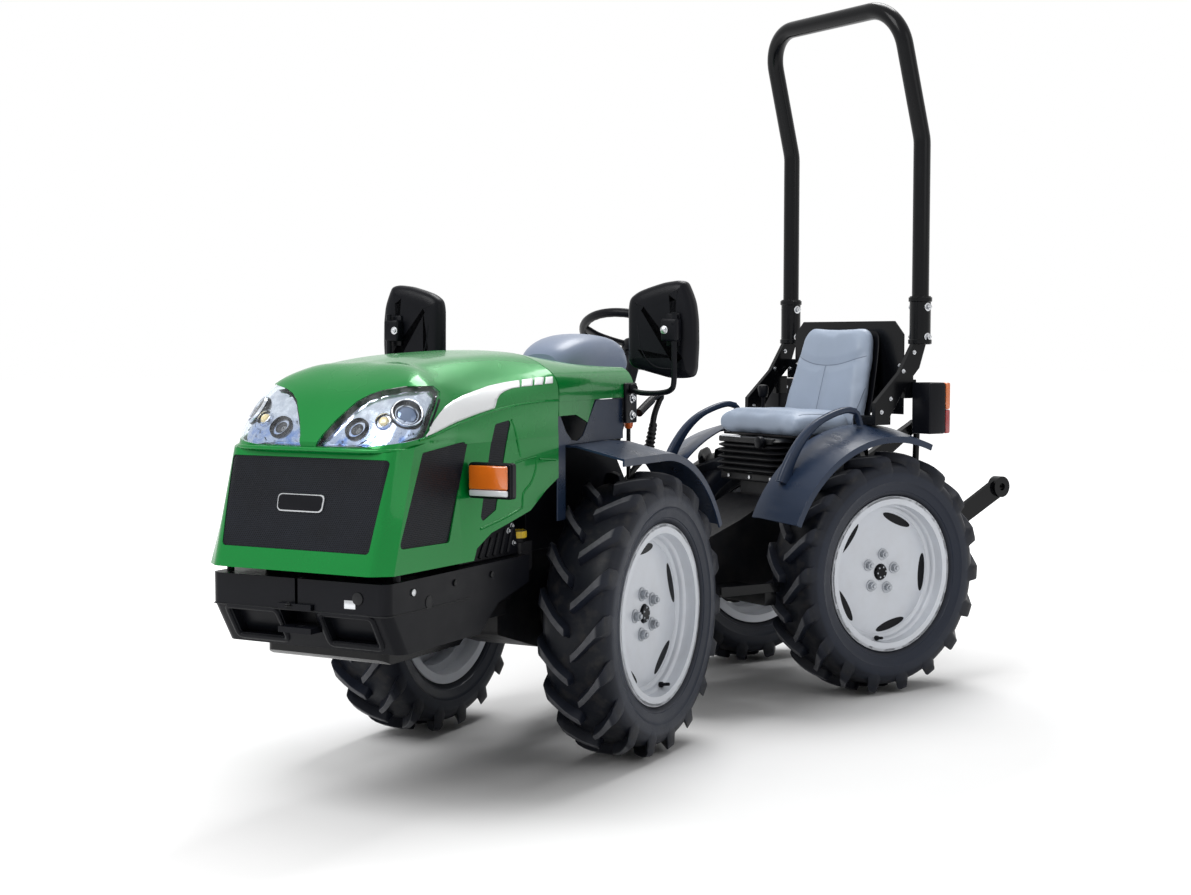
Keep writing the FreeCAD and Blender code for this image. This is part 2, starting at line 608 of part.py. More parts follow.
def make_seat():
    bellows = body("bellows")
    half, floor = d.bellows_half, d.bellows_floor
    rings = int(d.bellows_count.value)
    rise = (d.seat_top - d.cushion_wall - 8 - floor) / rings
    for i in range(rings):
        inset = 8 * (i % 2)
        pad(bellows, "xy", [(inset - half, 395 + inset), (half - inset, 395 + inset), (half - inset, 670 - inset),
                            (inset - half, 670 - inset)], floor + rise * i, floor + rise * (i + 1))
    base = box((-145, 145), (420, 665), (600, floor))
    finish(fuse(bellows, base), "seat_suspension", "rear")

    low = d.seat_top - d.cushion_wall
    cushion = body("cushion")
    pad(cushion, "yz", [(d.seat_front, low + 8), (d.seat_front, low + 42), (d.seat_front + 50, d.seat_top - 3),
                        (d.seat_rear - 80, d.seat_top - 14), (d.seat_rear - 30, d.seat_top), (d.seat_rear - 30, low)],
        -d.seat_half, d.seat_half)
    soften(cushion, 14, along(0))
    pan = box((-180, 180), (d.seat_front + 30, d.seat_rear - 20), (low - 7.7, low - 0.3))
    finish(cushion, "seat_cushion", "rear")

    lean = sine(d.back_lean) / cosine(d.back_lean)
    height = d.back_top - low
    back = body("backrest")
    start, wall = d.seat_rear - 29, d.back_wall
    pad(back, "yz", [(start, low), (start + wall, low), (start + wall + height * lean - 24, d.back_top - 8),
                     (start + height * lean, d.back_top)], -d.back_half, d.back_half)
    pad(back, "xz", [(-d.back_half - 5, d.back_top + 5), (-d.back_half - 5, d.back_top - 130),
                     (-d.back_half + 50, d.back_top + 5)], 500, 1000, remove=True)
    pad(back, "xz", [(d.back_half + 5, d.back_top + 5), (d.back_half + 5, d.back_top - 130),
                     (d.back_half - 50, d.back_top + 5)], 500, 1000, remove=True)
    finish(back, "seat_backrest", "rear")
    finish(pan, "seat_pan", "rear")


def make_rear_trim():
    rail = DOC.addObject("Part::Feature", "grab_rail")
    rail_x = d.fender_ridge_x.value + 20
    axle, over = d.rear_base.value, d.guard_top.value
    points = [Vector(rail_x, axle + y, over + z) for y, z in
              ((-326, -156), (-354, -133), (-291, -27), (-196, 25), (-110, 46), (-60, 38), (-41, 0))]
    rail.Shape = tube_shape(points, d.rail_radius.value, 18)
    finish(group(rail, mirrored(rail)), "grab_handles", "rear")

    lamp = body("tail_lamp")
    side, foot, high = d.hoop_half + d.leg_half, d.axle_height + d.fender_outer_radius + 1, d.lamp_height
    pad(lamp, "yz", [(780, foot), (862, foot), (866, foot + high), (784, foot + high)], side, side + d.lamp_width)
    soften(lamp, 6, along(0))
    finish(group(lamp, mirrored(lamp)), "tail_lamps", "rear")

    plate = body("footplate")
    pad(plate, "xy", [(110, 95), (200, 60), (310, 75), (310, 286), (110, 286)], 318, 324)
    rim = box((304, 310), (80, 286), (324, 345))
    stay = box((d.gearbox_half, 300), (240, 280), (280, 318))
    left = fuse(plate, rim, stay)
    finish(group(left, mirrored(left)), "footplates", "rear")

    stand = (47 - d.hoop_half, 670)
    foot = d.guard_top + 2 * d.guard_gap + 26
    lever = fuse(rod("z", 6, foot, foot + 50, stand), rod("z", 18, foot + 40, foot + 80, stand))
    finish(lever, "rear_levers", "rear")


# ---------------------------------------------------------------- centre joint
def make_centre():
    barrel = rod("z", d.yoke_radius, d.yoke_floor, d.yoke_top, (0, 0))
    shaft = rod("y", d.roll_radius, 0, d.gearbox_front + 40, (0, d.roll_height))
    flange = rod("y", 75, 80, 118, (0, d.roll_height))
    arm = fuse(box((-155, -20), (84, 114), (d.cylinder_z + 14, d.cylinder_z + 26)),
               box((-62, -20), (84, 114), (d.cylinder_z + 20, 320)))
    ear = box((-155, -115), (35, 114), (d.cylinder_z + 14, d.cylinder_z + 26))
    pin = rod("z", 8, d.cylinder_z - 18, d.cylinder_z + 14, (d.barrel_x, d.barrel_y))
    yoke = cut(fuse(barrel, shaft, flange, arm, ear, pin),
               rod("z", d.kingpin_radius + d.running_gap, 200, 600, (0, 0)))
    finish(yoke, "center_yoke", "rear")


def make_front_frame():
    back, front, low, high = d.frame_back, d.frame_front, d.frame_floor, d.frame_top
    case = body("case")
    pad(case, "yz", [(back, low + 30), (back, high - 60), (-180, high), (front, high), (front, low + 60),
                     (-700, low), (-500, low), (-420, low + 20)], -d.frame_half, d.frame_half)
    soften(case, 14, along(0))
    lower = fuse(rod("z", 68, low, low + d.lug_plate, (0, 0)),
                 box((-60, 60), (back - 20, 0), (low, low + d.lug_plate)))
    upper = fuse(rod("z", 68, d.yoke_top + 4, d.yoke_top + 4 + d.lug_plate, (0, 0)),
                 box((-60, 60), (back - 20, 0), (d.yoke_top + 4, d.yoke_top + 4 + d.lug_plate)))
    pin = rod("z", d.kingpin_radius, low, d.yoke_top + 4 + d.lug_plate + 10, (0, 0))
    rail_front = d.bumper_front + d.bumper_depth + 0.3
    rails = [box((x, x + 16), (rail_front, front + 5), (d.rail_floor, d.rail_top)) for x in (-110, 94)]
    ties = [box((-110, 110), (y, y + 30), (d.rail_floor, d.rail_top)) for y in (rail_front, front - 25)]
    ear = fuse(rod("z", 20, d.cylinder_z + 14, d.cylinder_z + 26, (d.eye_x, d.eye_y)),
               box((d.eye_x, d.eye_x + 30), (d.eye_y - 20, d.eye_y + 18), (d.cylinder_z + 14, d.cylinder_z + 26)))
    drop = box((-d.frame_half - 4, 20 - d.frame_half), (d.eye_y - 20, d.eye_y + 18), (d.cylinder_z + 20, low + 45))
    finish(fuse(case, lower, upper, pin, ear, drop, *rails, *ties), "front_frame", "front")
    finish(axle_housings(-d.front_base, d.frame_half), "front_axle", "front")


def make_engine():
    """The engine as one plain block on the rails, its radiator ahead of it and a tank at its side."""
    seat = d.rail_top + 0.3
    block = box((-135, 135), (-1330, -915), (seat, 800))
    finish(block, "engine_block", "front")
    radiator = box((-160, 160), (-1450, -1400), (seat + 10, 780))
    shroud = box((-150, 150), (-1400, -1340), (seat + 20, 770))
    feet = [box((x, x + 30), (-1450, -1400), (seat, seat + 12)) for x in (-110, 80)]
    finish(fuse(radiator, shroud, *feet), "radiator", "front")
    tank = body("tank")
    pad(tank, "xy", [(152, -980), (198, -980), (198, -915), (152, -915)], 490, 556)
    soften(tank, 10, along(2))
    cap = fuse(rod("z", 16, 554, 566, (177, -958)), rod("z", 22, 564, 584, (177, -958)))
    arm = box((135.3, 160), (-975, -935), (490, 500))
    finish(fuse(tank, cap, arm), "side_tank", "front")


def make_bumper():
    """Heavy front casting: a U in plan, raked below, with two pockets and the towing jaw between them."""
    outer = body("bumper_block")
    front, back, low, high = d.bumper_front, d.bumper_back, d.bumper_floor, d.bumper_top
    rake, waist = 52, high - 64
    pad(outer, "yz", [(front, high), (front, waist), (front + rake, low), (-1200, low), (-1120, 440),
                      (back, 470), (back, high)], -d.bumper_half, d.bumper_half)
    soften(outer, d.bumper_corner, lambda e: e.BoundBox.YMax < (front + rake + 1).value and e.BoundBox.XLength < 1)
    wall = d.bumper_wall
    inner = box((wall - d.bumper_half, d.bumper_half - wall), (front + d.bumper_depth, back + 10), (low - 10, high + 10))
    pockets = body("pockets")
    lean = rake * (1 - (waist - low - 20) / (waist - low))
    depth = d.pocket_depth
    for inner_x, outer_x in ((62, 176), (-176, -62)):
        pad(pockets, "xz", [(inner_x, low + 20), (outer_x, low + 20), (outer_x, waist - 10), (inner_x, waist - 10)],
            front - 1, front + rake + depth)
    face = body("pocket_floor")
    pad(face, "yz", [(front - 2, waist + depth), (front + depth, waist + depth), (front + depth, waist),
                     (front + rake - lean + depth, low + 20), (front + rake + depth, low - 5), (front - 2, low - 5)],
        -d.bumper_half, d.bumper_half)
    jaw_gap = box((-45, 45), (front - 5, front + 60), (low + 38, waist + 12))
    plates = [box((-42, 42), (front - d.jaw_reach, front + 70), (z, z + 12)) for z in (low + 38, waist)]
    pin_hole = rod("z", d.jaw_bore, low - 10, high + 20, (0, front + 12))
    casting = cut(outer, inner, common(pockets, face), jaw_gap)
    stops = [rod("z", 8, high - 5, d.hood_floor - 0.3, (x, -1500)) for x in (-214, 214)]
    finish(cut(fuse(casting, *plates, *stops), pin_hole), "bumper", "front")
    skid = body("skid")
    floor, half = d.skid_floor, d.skid_half
    pad(skid, "yz", [(d.skid_front, floor + 27), (d.skid_front, floor + 12), (d.skid_front + 25, floor),
                     (d.skid_back - 40, floor), (d.skid_back, floor + 27)], -half, half)
    soften(skid, 20, lambda e: e.BoundBox.YMax < (d.skid_front + 3).value and e.BoundBox.XLength < 1)
    finish(skid, "skid_beam", "front")


# The bonnet's top narrows upwards and shortens towards its crown. Each row gives a height above the
# crease as a share of the crown's rise, then the half-width and the nose's reach as shares of nose_reach.
TOP_FORM = [(0, 1, 1), (0.149, 1.032, 0.91), (0.326, 1.018, 0.806), (0.457, 0.995, 0.725),
            (0.56, 0.964, 0.653), (0.657, 0.917, 0.572), (0.754, 0.856, 0.473), (0.851, 0.748, 0.351),
            (0.949, 0.554, 0.18), (1, 0, 0)]
TOP_FULLNESS = 5.5


def top_form(rise):
    """The half-width and reach of the bonnet's top at a height above its crease."""
    share = min(max(rise / d.crown_rise.value, 0), 1)
    for (low, *first), (high, *last) in zip(TOP_FORM, TOP_FORM[1:]):
        if share <= high:
            part = (share - low) / (high - low)
            return [d.nose_reach.value * (a + (b - a) * part) for a, b in zip(first, last)]


def top_width(rise, ahead, inset):
    """Half-width of the top at a height above the crease and a distance ahead of the nose plane."""
    wide, reach = (size - inset for size in top_form(rise + inset))
    if wide <= 0 or reach < ahead:
        return 0
    return wide * (1 - (ahead / reach) ** TOP_FULLNESS) ** (1 / TOP_FULLNESS) if reach > 0 else wide


def top_height(ahead, inset):
    """Height of the top above the crease on the middle line, found by halving."""
    low, high = 0, d.crown_rise.value - inset
    for _ in range(40):
        middle = (low + high) / 2
        if top_width(middle, ahead, inset) > 0:
            low = middle
        else:
            high = middle
    return low


def arched_wire(y, points):
    """A flat bottom and one smooth arch through points given from the side to the middle line."""
    right = [Vector(x, y, z) for x, z in points]
    left = [Vector(-x, y, z) for x, z in reversed(points[:-1])]
    arch = Part.BSplineCurve()
    arch.interpolate(right + left)
    base = Part.LineSegment(left[-1], right[0]).toShape()
    return Part.Wire([arch.toShape(), base])


def nose_section(ahead, inset):
    """One cross-section of the top, ahead of the nose plane."""
    crease, steps = d.crease_height.value, 9
    top = top_height(ahead, inset)
    rises = [top * math.sin(math.pi / 2 * k / steps) for k in range(steps + 1)]
    points = [(top_width(rise, ahead, inset), crease + rise) for rise in rises]
    points[-1] = (0, crease + top)
    return arched_wire(d.nose_plane.value - ahead, points)


def rear_section(y, half, shoulder, crown, inset, crease):
    """One cross-section of the top between the nose plane and the dash: straight sides, round shoulders."""
    side, top = half - inset, crown - inset
    points = [(side, crease), (side, (crease + shoulder) / 2), (side, shoulder - 12), (side - 9, shoulder + 22),
              (side - 32, shoulder + 43), (side * 0.62, top - 13), (side * 0.38, top - 4), (side * 0.18, top - 1),
              (side * 0.09, top - 0.2), (0, top)]
    return arched_wire(y, points)


def lofted(name, *wires, ruled=False):
    item = DOC.addObject("Part::Feature", name)
    item.Shape = Part.makeLoft(list(wires), True, ruled)
    return item


def plan_loft(name, low, high, corner=0):
    """A straight-sided loft between two outlines of one count of corners, each given at its height."""
    wires = [Part.makePolygon([Vector(x, y, z) for x, y in points + points[:1]]) for z, points in (low, high)]
    solid = Part.makeLoft(wires, True, True)
    if corner:
        front = min(y for x, y in low[1]) + 80
        edges = [e for e in solid.Edges if e.BoundBox.YMax < front and e.BoundBox.ZLength > 100]
        solid = solid.makeFillet(corner, edges)
    item = DOC.addObject("Part::Feature", name)
    item.Shape = solid
    return item


def both_sides(points):
    return points + [(-x, y) for x, y in reversed(points)]


def hood_solid(inset):
    """The bonnet's outside, or its inside when inset: a rounded top on raked, leaning lower sides."""
    plane, back, crease = d.nose_plane.value, d.hood_back.value, d.crease_height.value
    floor, front, rise = d.hood_floor.value, d.hood_front.value, d.fascia_rise.value
    rear = back + (1 if inset else 0)
    top = lofted("top_rear", rear_section(rear, d.hood_half.value, 912, d.hood_top.value, inset, crease),
                 rear_section(-1100, 240, 885, 992, inset, crease), nose_section(0, inset))
    reach = top_form(inset)[1] - inset
    stations = [reach * share for share in (0, 0.2, 0.4, 0.6, 0.76, 0.88, 0.96)]
    nose = lofted("nose", *[nose_section(ahead, inset) for ahead in stations])

    half, lean, slope = d.nose_reach.value, d.side_lean.value, d.fascia_lean.value / rise
    top_z = crease + 12
    over = slope * (top_z - floor)
    nose_half = d.fascia_half.value - inset
    low_plan = both_sides([(half + lean - inset, plane), (half + lean - 9 - inset, -1540),
                           (nose_half, front + inset)])
    high_plan = both_sides([(half + 2 - inset, plane), (half + 3 - inset, -1445),
                            (nose_half + 8, front + over + inset)])
    fascia = plan_loft("fascia", (floor, low_plan), (top_z, high_plan), d.fascia_corner.value - inset)
    shelf = body("shelf")
    pad(shelf, "yz", [(front - 10, top_z - d.shelf_drop - 4 - inset), (d.shelf_back, top_z - inset),
                      (d.nose_plane + 5, top_z - inset), (d.nose_plane + 5, top_z + 30), (front - 10, top_z + 30)],
        -300, 300)
    wide = d.hood_half.value - inset
    low_rear = both_sides([(half + lean - inset, plane), (wide, -1120), (wide, rear)])
    high_rear = both_sides([(half - inset, plane), (238 - inset, -1120), (wide, rear)])
    skirt = plan_loft("skirt", (floor, low_rear), (crease, high_rear))
    return fuse(top, nose, cut(fascia, shelf), skirt)


def arch_cut():
    """The wheel arch that the bonnet's lower rear edge leaves open."""
    owner = body("arch")
    back, low = d.hood_back, d.hood_floor
    pad(owner, "yz", [(back + 5, 705), (-944, 678), (-1014, 637), (-1180, 602), (-1239, 574), (-1254, low),
                      (-1254, low - 30), (back + 5, low - 30)], -300, 300)
    return owner


GRILLE = [(-187, 592), (187, 592), (202, 779), (-202, 779)]
SIDE_GRILLE = [(-1519, 600), (-1341, 597), (-1250, 806), (-1420, 790)]
SIDE_SLOT = [(-1222, 625), (-1158, 650), (-1086, 846), (-1150, 838)]
LAMP_FRONT = [(19, 802), (28, 826), (47, 857), (77, 894), (100, 909), (125, 918), (168, 926), (240, 926),
              (240, 812), (206, 812), (135, 803)]
LAMP_SIDE = [(-1640, 796), (-1510, 796), (-1470, 812), (-1413, 821), (-1371, 869), (-1320, 912),
             (-1340, 940), (-1640, 940)]


def drawn_in(points, gap):
    """The outline with every edge moved inwards by a gap; its corners run anticlockwise or clockwise."""
    corners = [Vector(x, y, 0) for x, y in points]
    turn = sum(a.x * b.y - a.y * b.x for a, b in zip(corners, corners[1:] + corners[:1]))
    inward = Vector(0, 0, 1 if turn > 0 else -1)
    moved = []
    for before, corner, after in zip(corners[-1:] + corners[:-1], corners, corners[1:] + corners[:1]):
        first, second = inward.cross((corner - before).normalize()), inward.cross((after - corner).normalize())
        shift = (first + second) * (gap / (1 + first.dot(second)))
        moved.append((corner.x + shift.x, corner.y + shift.y))
    return moved


def opening(outline, plane, low, high, gap=0):
    owner = body("opening")
    extrude(owner, plane, [drawn_in(outline, gap)], low, high)
    soften(owner, 9, along({"xz": 1, "yz": 0}[plane]))
    return owner


def lamp_opening(gap=0):
    """The space of one lamp: its outline seen from ahead and, round the corner, from the side."""
    ahead, beside = body("lamp_front"), body("lamp_side")
    extrude(ahead, "xz", [drawn_in(LAMP_FRONT, gap)], -1640, -1300)
    extrude(beside, "yz", [drawn_in(LAMP_SIDE, gap)], 0, 300)
    return common(ahead, beside)


def lamp_cup(x, y, z, radius):
    """A round cup that opens ahead, with its lens at the bottom."""
    wall = d.cup_wall
    cup = cut(rod("y", radius + wall, y - 60, y + 20, (x, z)), rod("y", radius, y - 70, y, (x, z)))
    return cup, rod("y", radius + wall, y - 70, y + 10, (x, z))


def make_headlamps():
    """Each lamp unit is a bowl behind the bonnet's surface with two cups sunk in it, under a clear cover."""
    depth, wall = d.lamp_depth.value, d.cup_wall.value
    inside = hood_solid(1 + d.insert_wall.value + d.lamp_gap.value)
    hollow = cut(lamp_opening(2 + wall), hood_solid(depth))
    shell = cut(common(inside, lamp_opening(2)), hood_solid(depth + d.lamp_wall.value), hollow)
    cups, bores = zip(lamp_cup(176, -1395, 877, d.projector_radius), lamp_cup(89, -1467, 845, d.dipped_radius))
    bowl = cut(shell, *bores)
    unit = fuse(bowl, *[common(cup, inside) for cup in cups])
    finish(group(unit, mirrored(unit)), "headlamps", "front")
    cover = common(cut(hood_solid(1), hood_solid(1 + d.insert_wall.value)), lamp_opening(d.insert_gap.value))
    finish(group(cover, mirrored(cover)), "lamp_covers", "front")


def make_hood():
    """Bonnet shell with its grille openings, the inserts behind them and the indicators."""
    insert, gap = d.insert_wall.value, d.insert_gap.value
    lamp_hole = lamp_opening()
    side = [opening(SIDE_GRILLE, "yz", 150, 300), opening(SIDE_SLOT, "yz", 150, 300)]
    holes = [opening(GRILLE, "xz", -1620, -1480), lamp_hole, mirrored(lamp_hole)]
    holes += side + [mirrored(hole) for hole in side]
    shell = cut(hood_solid(0), hood_solid(d.hood_wall.value), arch_cut(), *holes)
    brim = box((-300, 300), (-1600, -1262), (d.hood_floor, d.hood_floor + d.brim_wall))
    flange = common(cut(hood_solid(0), hood_solid(d.brim_width.value)), brim)
    finish(fuse(shell, flange), "hood_shell", "front")

    layer = cut(hood_solid(1.5), hood_solid(1.5 + insert))
    holes = [opening(GRILLE, "xz", -1620, -1480, gap)]
    holes += [opening(SIDE_GRILLE, "yz", 150, 300, gap), opening(SIDE_SLOT, "yz", 150, 300, gap)]
    inserts = [common(layer, hole) for hole in holes]
    finish(group(*inserts, *[mirrored(item) for item in inserts[1:]]), "hood_grilles", "front")

    box_form = body("indicator")
    pad(box_form, "xz", [(210, 684), (345, 684), (345, 762), (210, 762)], -1272, -1240)
    soften(box_form, 6, along(1))
    lamp = cut(box_form, hood_solid(-0.3))
    finish(group(lamp, mirrored(lamp)), "indicators", "front")


def cowl_solid(inset):
    """The fixed hood behind the bonnet: it starts at the bonnet's own section and narrows to the dash."""
    front, back, low = d.hood_back + d.hood_gap, d.cowl_back, d.cowl_floor.value
    extra = 2 if inset else 0
    return lofted("cowl_form", rear_section(front.value - extra, d.hood_half.value, 912, d.hood_top.value, inset, low),
                  rear_section(back.value - inset, d.cowl_half.value, 908, d.cowl_top.value, inset, low))


def side_outline(corners):
    owner = body("outline_prism")
    pad(owner, "yz", corners, 150, 300)
    return owner


# The instrument pod's dome: at each distance from the kingpin, how far its top lies below pod_top
# and its half-width as a share of pod_half.
POD_FORM = [(-540, 52, 0.62), (-490, 22, 0.86), (-410, 3, 0.98), (-343, 0, 1), (-270, 4, 0.97), (-215, 14, 0.9),
            (-184, 28, 0.8), (-160, 52, 0.64)]


def pod_section(y, drop, share):
    """One arch of the instrument pod's dome."""
    low, half, rise = 890, d.pod_half.value * share, d.pod_top.value - drop - 890
    shape = ((1, 0), (0.985, 0.5), (0.92, 0.74), (0.74, 0.9), (0.45, 0.975), (0.2, 0.996), (0, 1))
    return arched_wire(y, [(half * across, low + rise * up) for across, up in shape])


def make_cowl():
    """Fixed hood with its pointed side flaps, the grey panels under it, the dash and the instrument pod."""
    front, back, low = d.hood_back + d.hood_gap, d.cowl_back, d.cowl_floor
    wall = d.cowl_wall
    under = box((-260, 260), (front - 5, back - wall), (low - 5, low + 1))
    undercut = body("undercut")
    pad(undercut, "yz", [(back - 50, low - 5), (back + 5, low - 5), (back + 5, low + 40)], -300, 300)
    shell = cut(cowl_solid(0), cowl_solid(wall.value), under, undercut)

    def side_plate(shift, top, bottom):
        """A slanted upright plate that follows the fixed hood's lower edge."""
        plate = body("side_plate")
        slope = [(d.hood_half - shift, front), (d.cowl_half - shift, back)]
        pad(plate, "xy", slope + [(x - d.panel_wall, y) for x, y in reversed(slope)], bottom, top)
        return plate

    flap = common(side_plate(0.6, low + 4, 800), side_outline(
        [(front, low + 10), (front, 845), (-792, 845), (-727, 824), (-680, low + 10)]))
    finish(fuse(shell, flap, mirrored(flap)), "cowl", "front")

    over = d.axle_height + d.fender_inner_radius + 0.3
    panel = common(side_plate(d.panel_wall + 1.2, low - 1, 600), side_outline(
        [(front, 600), (front, 848), (-868, 846), (-836, 806), (-806, 785), (-772, 782), (-742, 794),
         (-668, low), (-505, low), (-505, over), (-840, over), (-840, 600)]))
    finish(group(panel, mirrored(panel)), "side_panels", "front")

    dash = body("dash_block")
    pad(dash, "yz", [(-870, d.frame_top + 0.3), (-870, 870), (-460, 870), (-460, 790), (-300, 600),
                     (-300, d.frame_top + 0.3)], -150, 150)
    soften(dash, 12, along(0))
    finish(dash, "dash", "front")

    dome = lofted("pod_dome", *[pod_section(*row) for row in POD_FORM])
    hollow = body("pod_underside")
    pad(hollow, "yz", [(-300, 870), (-150, 870), (-150, 975), (-180, 960), (-270, 900)], -120, 120)
    pod = cut(dome, hollow, cowl_solid(-0.3))
    neck = body("pod_neck")
    pad(neck, "yz", [(-459.7, 840), (-459.7, 869), (back + 3, 869), (back + 3, 885), (-320, 885), (-320, 850)],
        -60, 60)
    finish(fuse(pod, neck), "instrument_pod", "front")


def make_steering():
    tilt = d.steer_tilt
    wheel = DOC.addObject("Part::Torus", "rim_ring")
    bind(wheel, "Radius1", d.steer_radius)
    bind(wheel, "Radius2", d.steer_tube)
    hub = rod("z", 38, -45, -12, (0, 0))
    spokes = [box((-10, 10), (20, d.steer_radius - 2), (-20, -10))]
    for turn in (120, 240):
        other = box((-10, 10), (20, d.steer_radius - 2), (-20, -10))
        arm = group(other)
        arm.Placement = Placement(Vector(), Rotation(Vector(0, 0, 1), turn))
        spokes.append(arm)
    whole = group(fuse(wheel, hub, *spokes))
    whole.Placement = Placement(Vector(), Rotation(Vector(-1, 0, 0), tilt.value))
    bind(whole, "Placement.Rotation.Angle", tilt)
    at(whole, 0, d.steer_y, d.steer_z)
    finish(group(whole), "steering_wheel", "front")
    column = group(rod("z", 26, -560, -46, (0, 0)))
    column.Placement = Placement(Vector(), Rotation(Vector(-1, 0, 0), tilt.value))
    bind(column, "Placement.Rotation.Angle", tilt)
    at(column, 0, d.steer_y, d.steer_z)
    foot = box((-45, 45), (-298, -220), (d.frame_top, 575))
    finish(fuse(column, foot), "steering_column", "front")


def make_mirrors():
    """Mirror heads with rounded corners, on bent arms from plates at the fixed hood's rear corners."""
    head = body("mirror_head")
    x, half = d.mirror_x, d.mirror_half
    low, high = d.mirror_floor, d.mirror_top
    pad(head, "xz", [(x - half, low + 27), (x + 21, low), (x + half - 8, low), (x + half, low + 70),
                     (x + half - 1, high - 95), (x + half - 20, high), (x + 36, high), (x - 36, high - 16),
                     (x - half, high - 42)],
        d.mirror_y - d.mirror_wall / 2, d.mirror_y + d.mirror_wall / 2)
    soften(head, 10, along(1))
    soften(head, 6, lambda e: e.BoundBox.YLength < 0.01)
    finish(group(head, mirrored(head)), "mirror_heads", "front")
    arm = DOC.addObject("Part::Feature", "mirror_arm")
    points = [Vector(*p) for p in ((d.cowl_half.value + 9, -480, 900), (300, -540, 890), (415, -610, 905),
                                   (415, -610, 1088))]
    arm.Shape = tube_shape(points, 7, 30)
    plate = box((d.cowl_half, d.cowl_half + 11), (-515, -452), (811, 914))
    clamp = box((381, 427), (d.mirror_y - 50, d.mirror_y - d.mirror_wall / 2 - 0.3), (1017, 1075))
    side = cut(fuse(arm, plate, clamp), cowl_solid(-0.3))
    finish(group(side, mirrored(side)), "mirror_arms", "front")


def make_front_bits():
    """Front mudguards, flat ahead of the wheel's top, and the lever beside the dash."""
    guard = fender(-d.front_base, -61, 61)
    shelf = body("shelf")
    section = [(x, d.axle_height + r) for x, r in fender_section()]
    pad(shelf, "xz", section, d.shelf_front, -d.front_base)
    stay = box((150, 250), (-640, -570), (d.guard_top - 17, d.guard_top - 4))
    side = fuse(guard, shelf, stay)
    finish(group(side, mirrored(side)), "front_fenders", "front")
    stick = fuse(rod("z", 6, d.frame_top + 0.3, 800, (80, -190)), rod("z", 13, 782, 815, (80, -190)))
    handle = DOC.addObject("Part::Feature", "bent_handle")
    route = [(40, -192, d.frame_top.value + 0.3), (40, -192, 600), (96, -98, 715), (100, -74, 812), (100, -14, 860),
             (100, -60, 866), (100, -165, 822)]
    handle.Shape = tube_shape([Vector(*point) for point in route], 9, 14)
    gaiter = rod("z", 16, 720, 795, (99, -88))
    finish(group(stick, fuse(handle, gaiter)), "front_levers", "front")


def make_cylinder():
    """The steering ram under the joint: its barrel turns on the yoke, its rod reaches for the front frame."""
    turn = math.radians(d.pose_angle.value)
    eye_x, eye_y = d.eye_x.value, d.eye_y.value
    reach_x = eye_x * math.cos(turn) - eye_y * math.sin(turn) - d.barrel_x.value
    reach_y = eye_x * math.sin(turn) + eye_y * math.cos(turn) - d.barrel_y.value
    length = math.hypot(reach_x, reach_y)
    heading = math.degrees(math.atan2(-reach_x, reach_y))
    floor, end = d.barrel_floor, d.barrel_end
    tube_part = cut(rod("y", 26, floor - 8, end, (0, 0)), rod("y", 20, floor, end - 12, (0, 0)),
                    rod("y", d.rod_radius + d.running_gap, end - 40, end + 20, (0, 0)))
    lug_part = fuse(tube_part, rod("y", 11, 10, floor - 4, (0, 0)), rod("z", 20, -12, 12, (0, 0)))
    barrel = cut(lug_part, rod("z", 8 + d.running_gap, -40, 40, (0, 0)))
    rod_start = floor + d.ram_stroke + 1.5
    ram = fuse(rod("y", d.rod_radius, rod_start, length - 10, (0, 0)), rod("z", 18, -12, 13.6, (0, length)))
    for part, label in ((barrel, "steering_cylinder"), (ram, "steering_rod")):
        finish(part, label, "rear", d.barrel_x, d.barrel_y, d.cylinder_z, spin=heading)


make_wheels()
make_rear_gearbox()
make_lift()
make_rear_bits()
make_roll_bar()
make_seat()
make_rear_trim()
make_centre()
make_cylinder()
make_front_frame()
make_engine()
make_bumper()
make_hood()
make_headlamps()
make_cowl()
make_steering()
make_mirrors()
make_front_bits()
DOC.recompute()

failed = [o.Name for o in DOC.Objects if "Invalid" in o.State or "Error" in o.State]
if failed:
    raise RuntimeError(f"objects that could not be built: {failed}")
os.makedirs("parts", exist_ok=True)
whole = FreeCAD.BoundBox()
for item in NODES:
    shape = item.Shape
    if shape.isNull() or not shape.isValid() or not shape.Solids:
        raise RuntimeError(f"{item.Label} is not a valid solid")
    shape.exportStep(f"parts/{item.Label}.step")
    whole.add(shape.BoundBox)
print(len(NODES), "nodes;", whole)
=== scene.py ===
"""Looks of the articulated compact tractor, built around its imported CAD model. Lengths are in metres."""

import json
import math

import bmesh
import bpy
from mathutils import Matrix, Vector
from mathutils.bvhtree import BVHTree

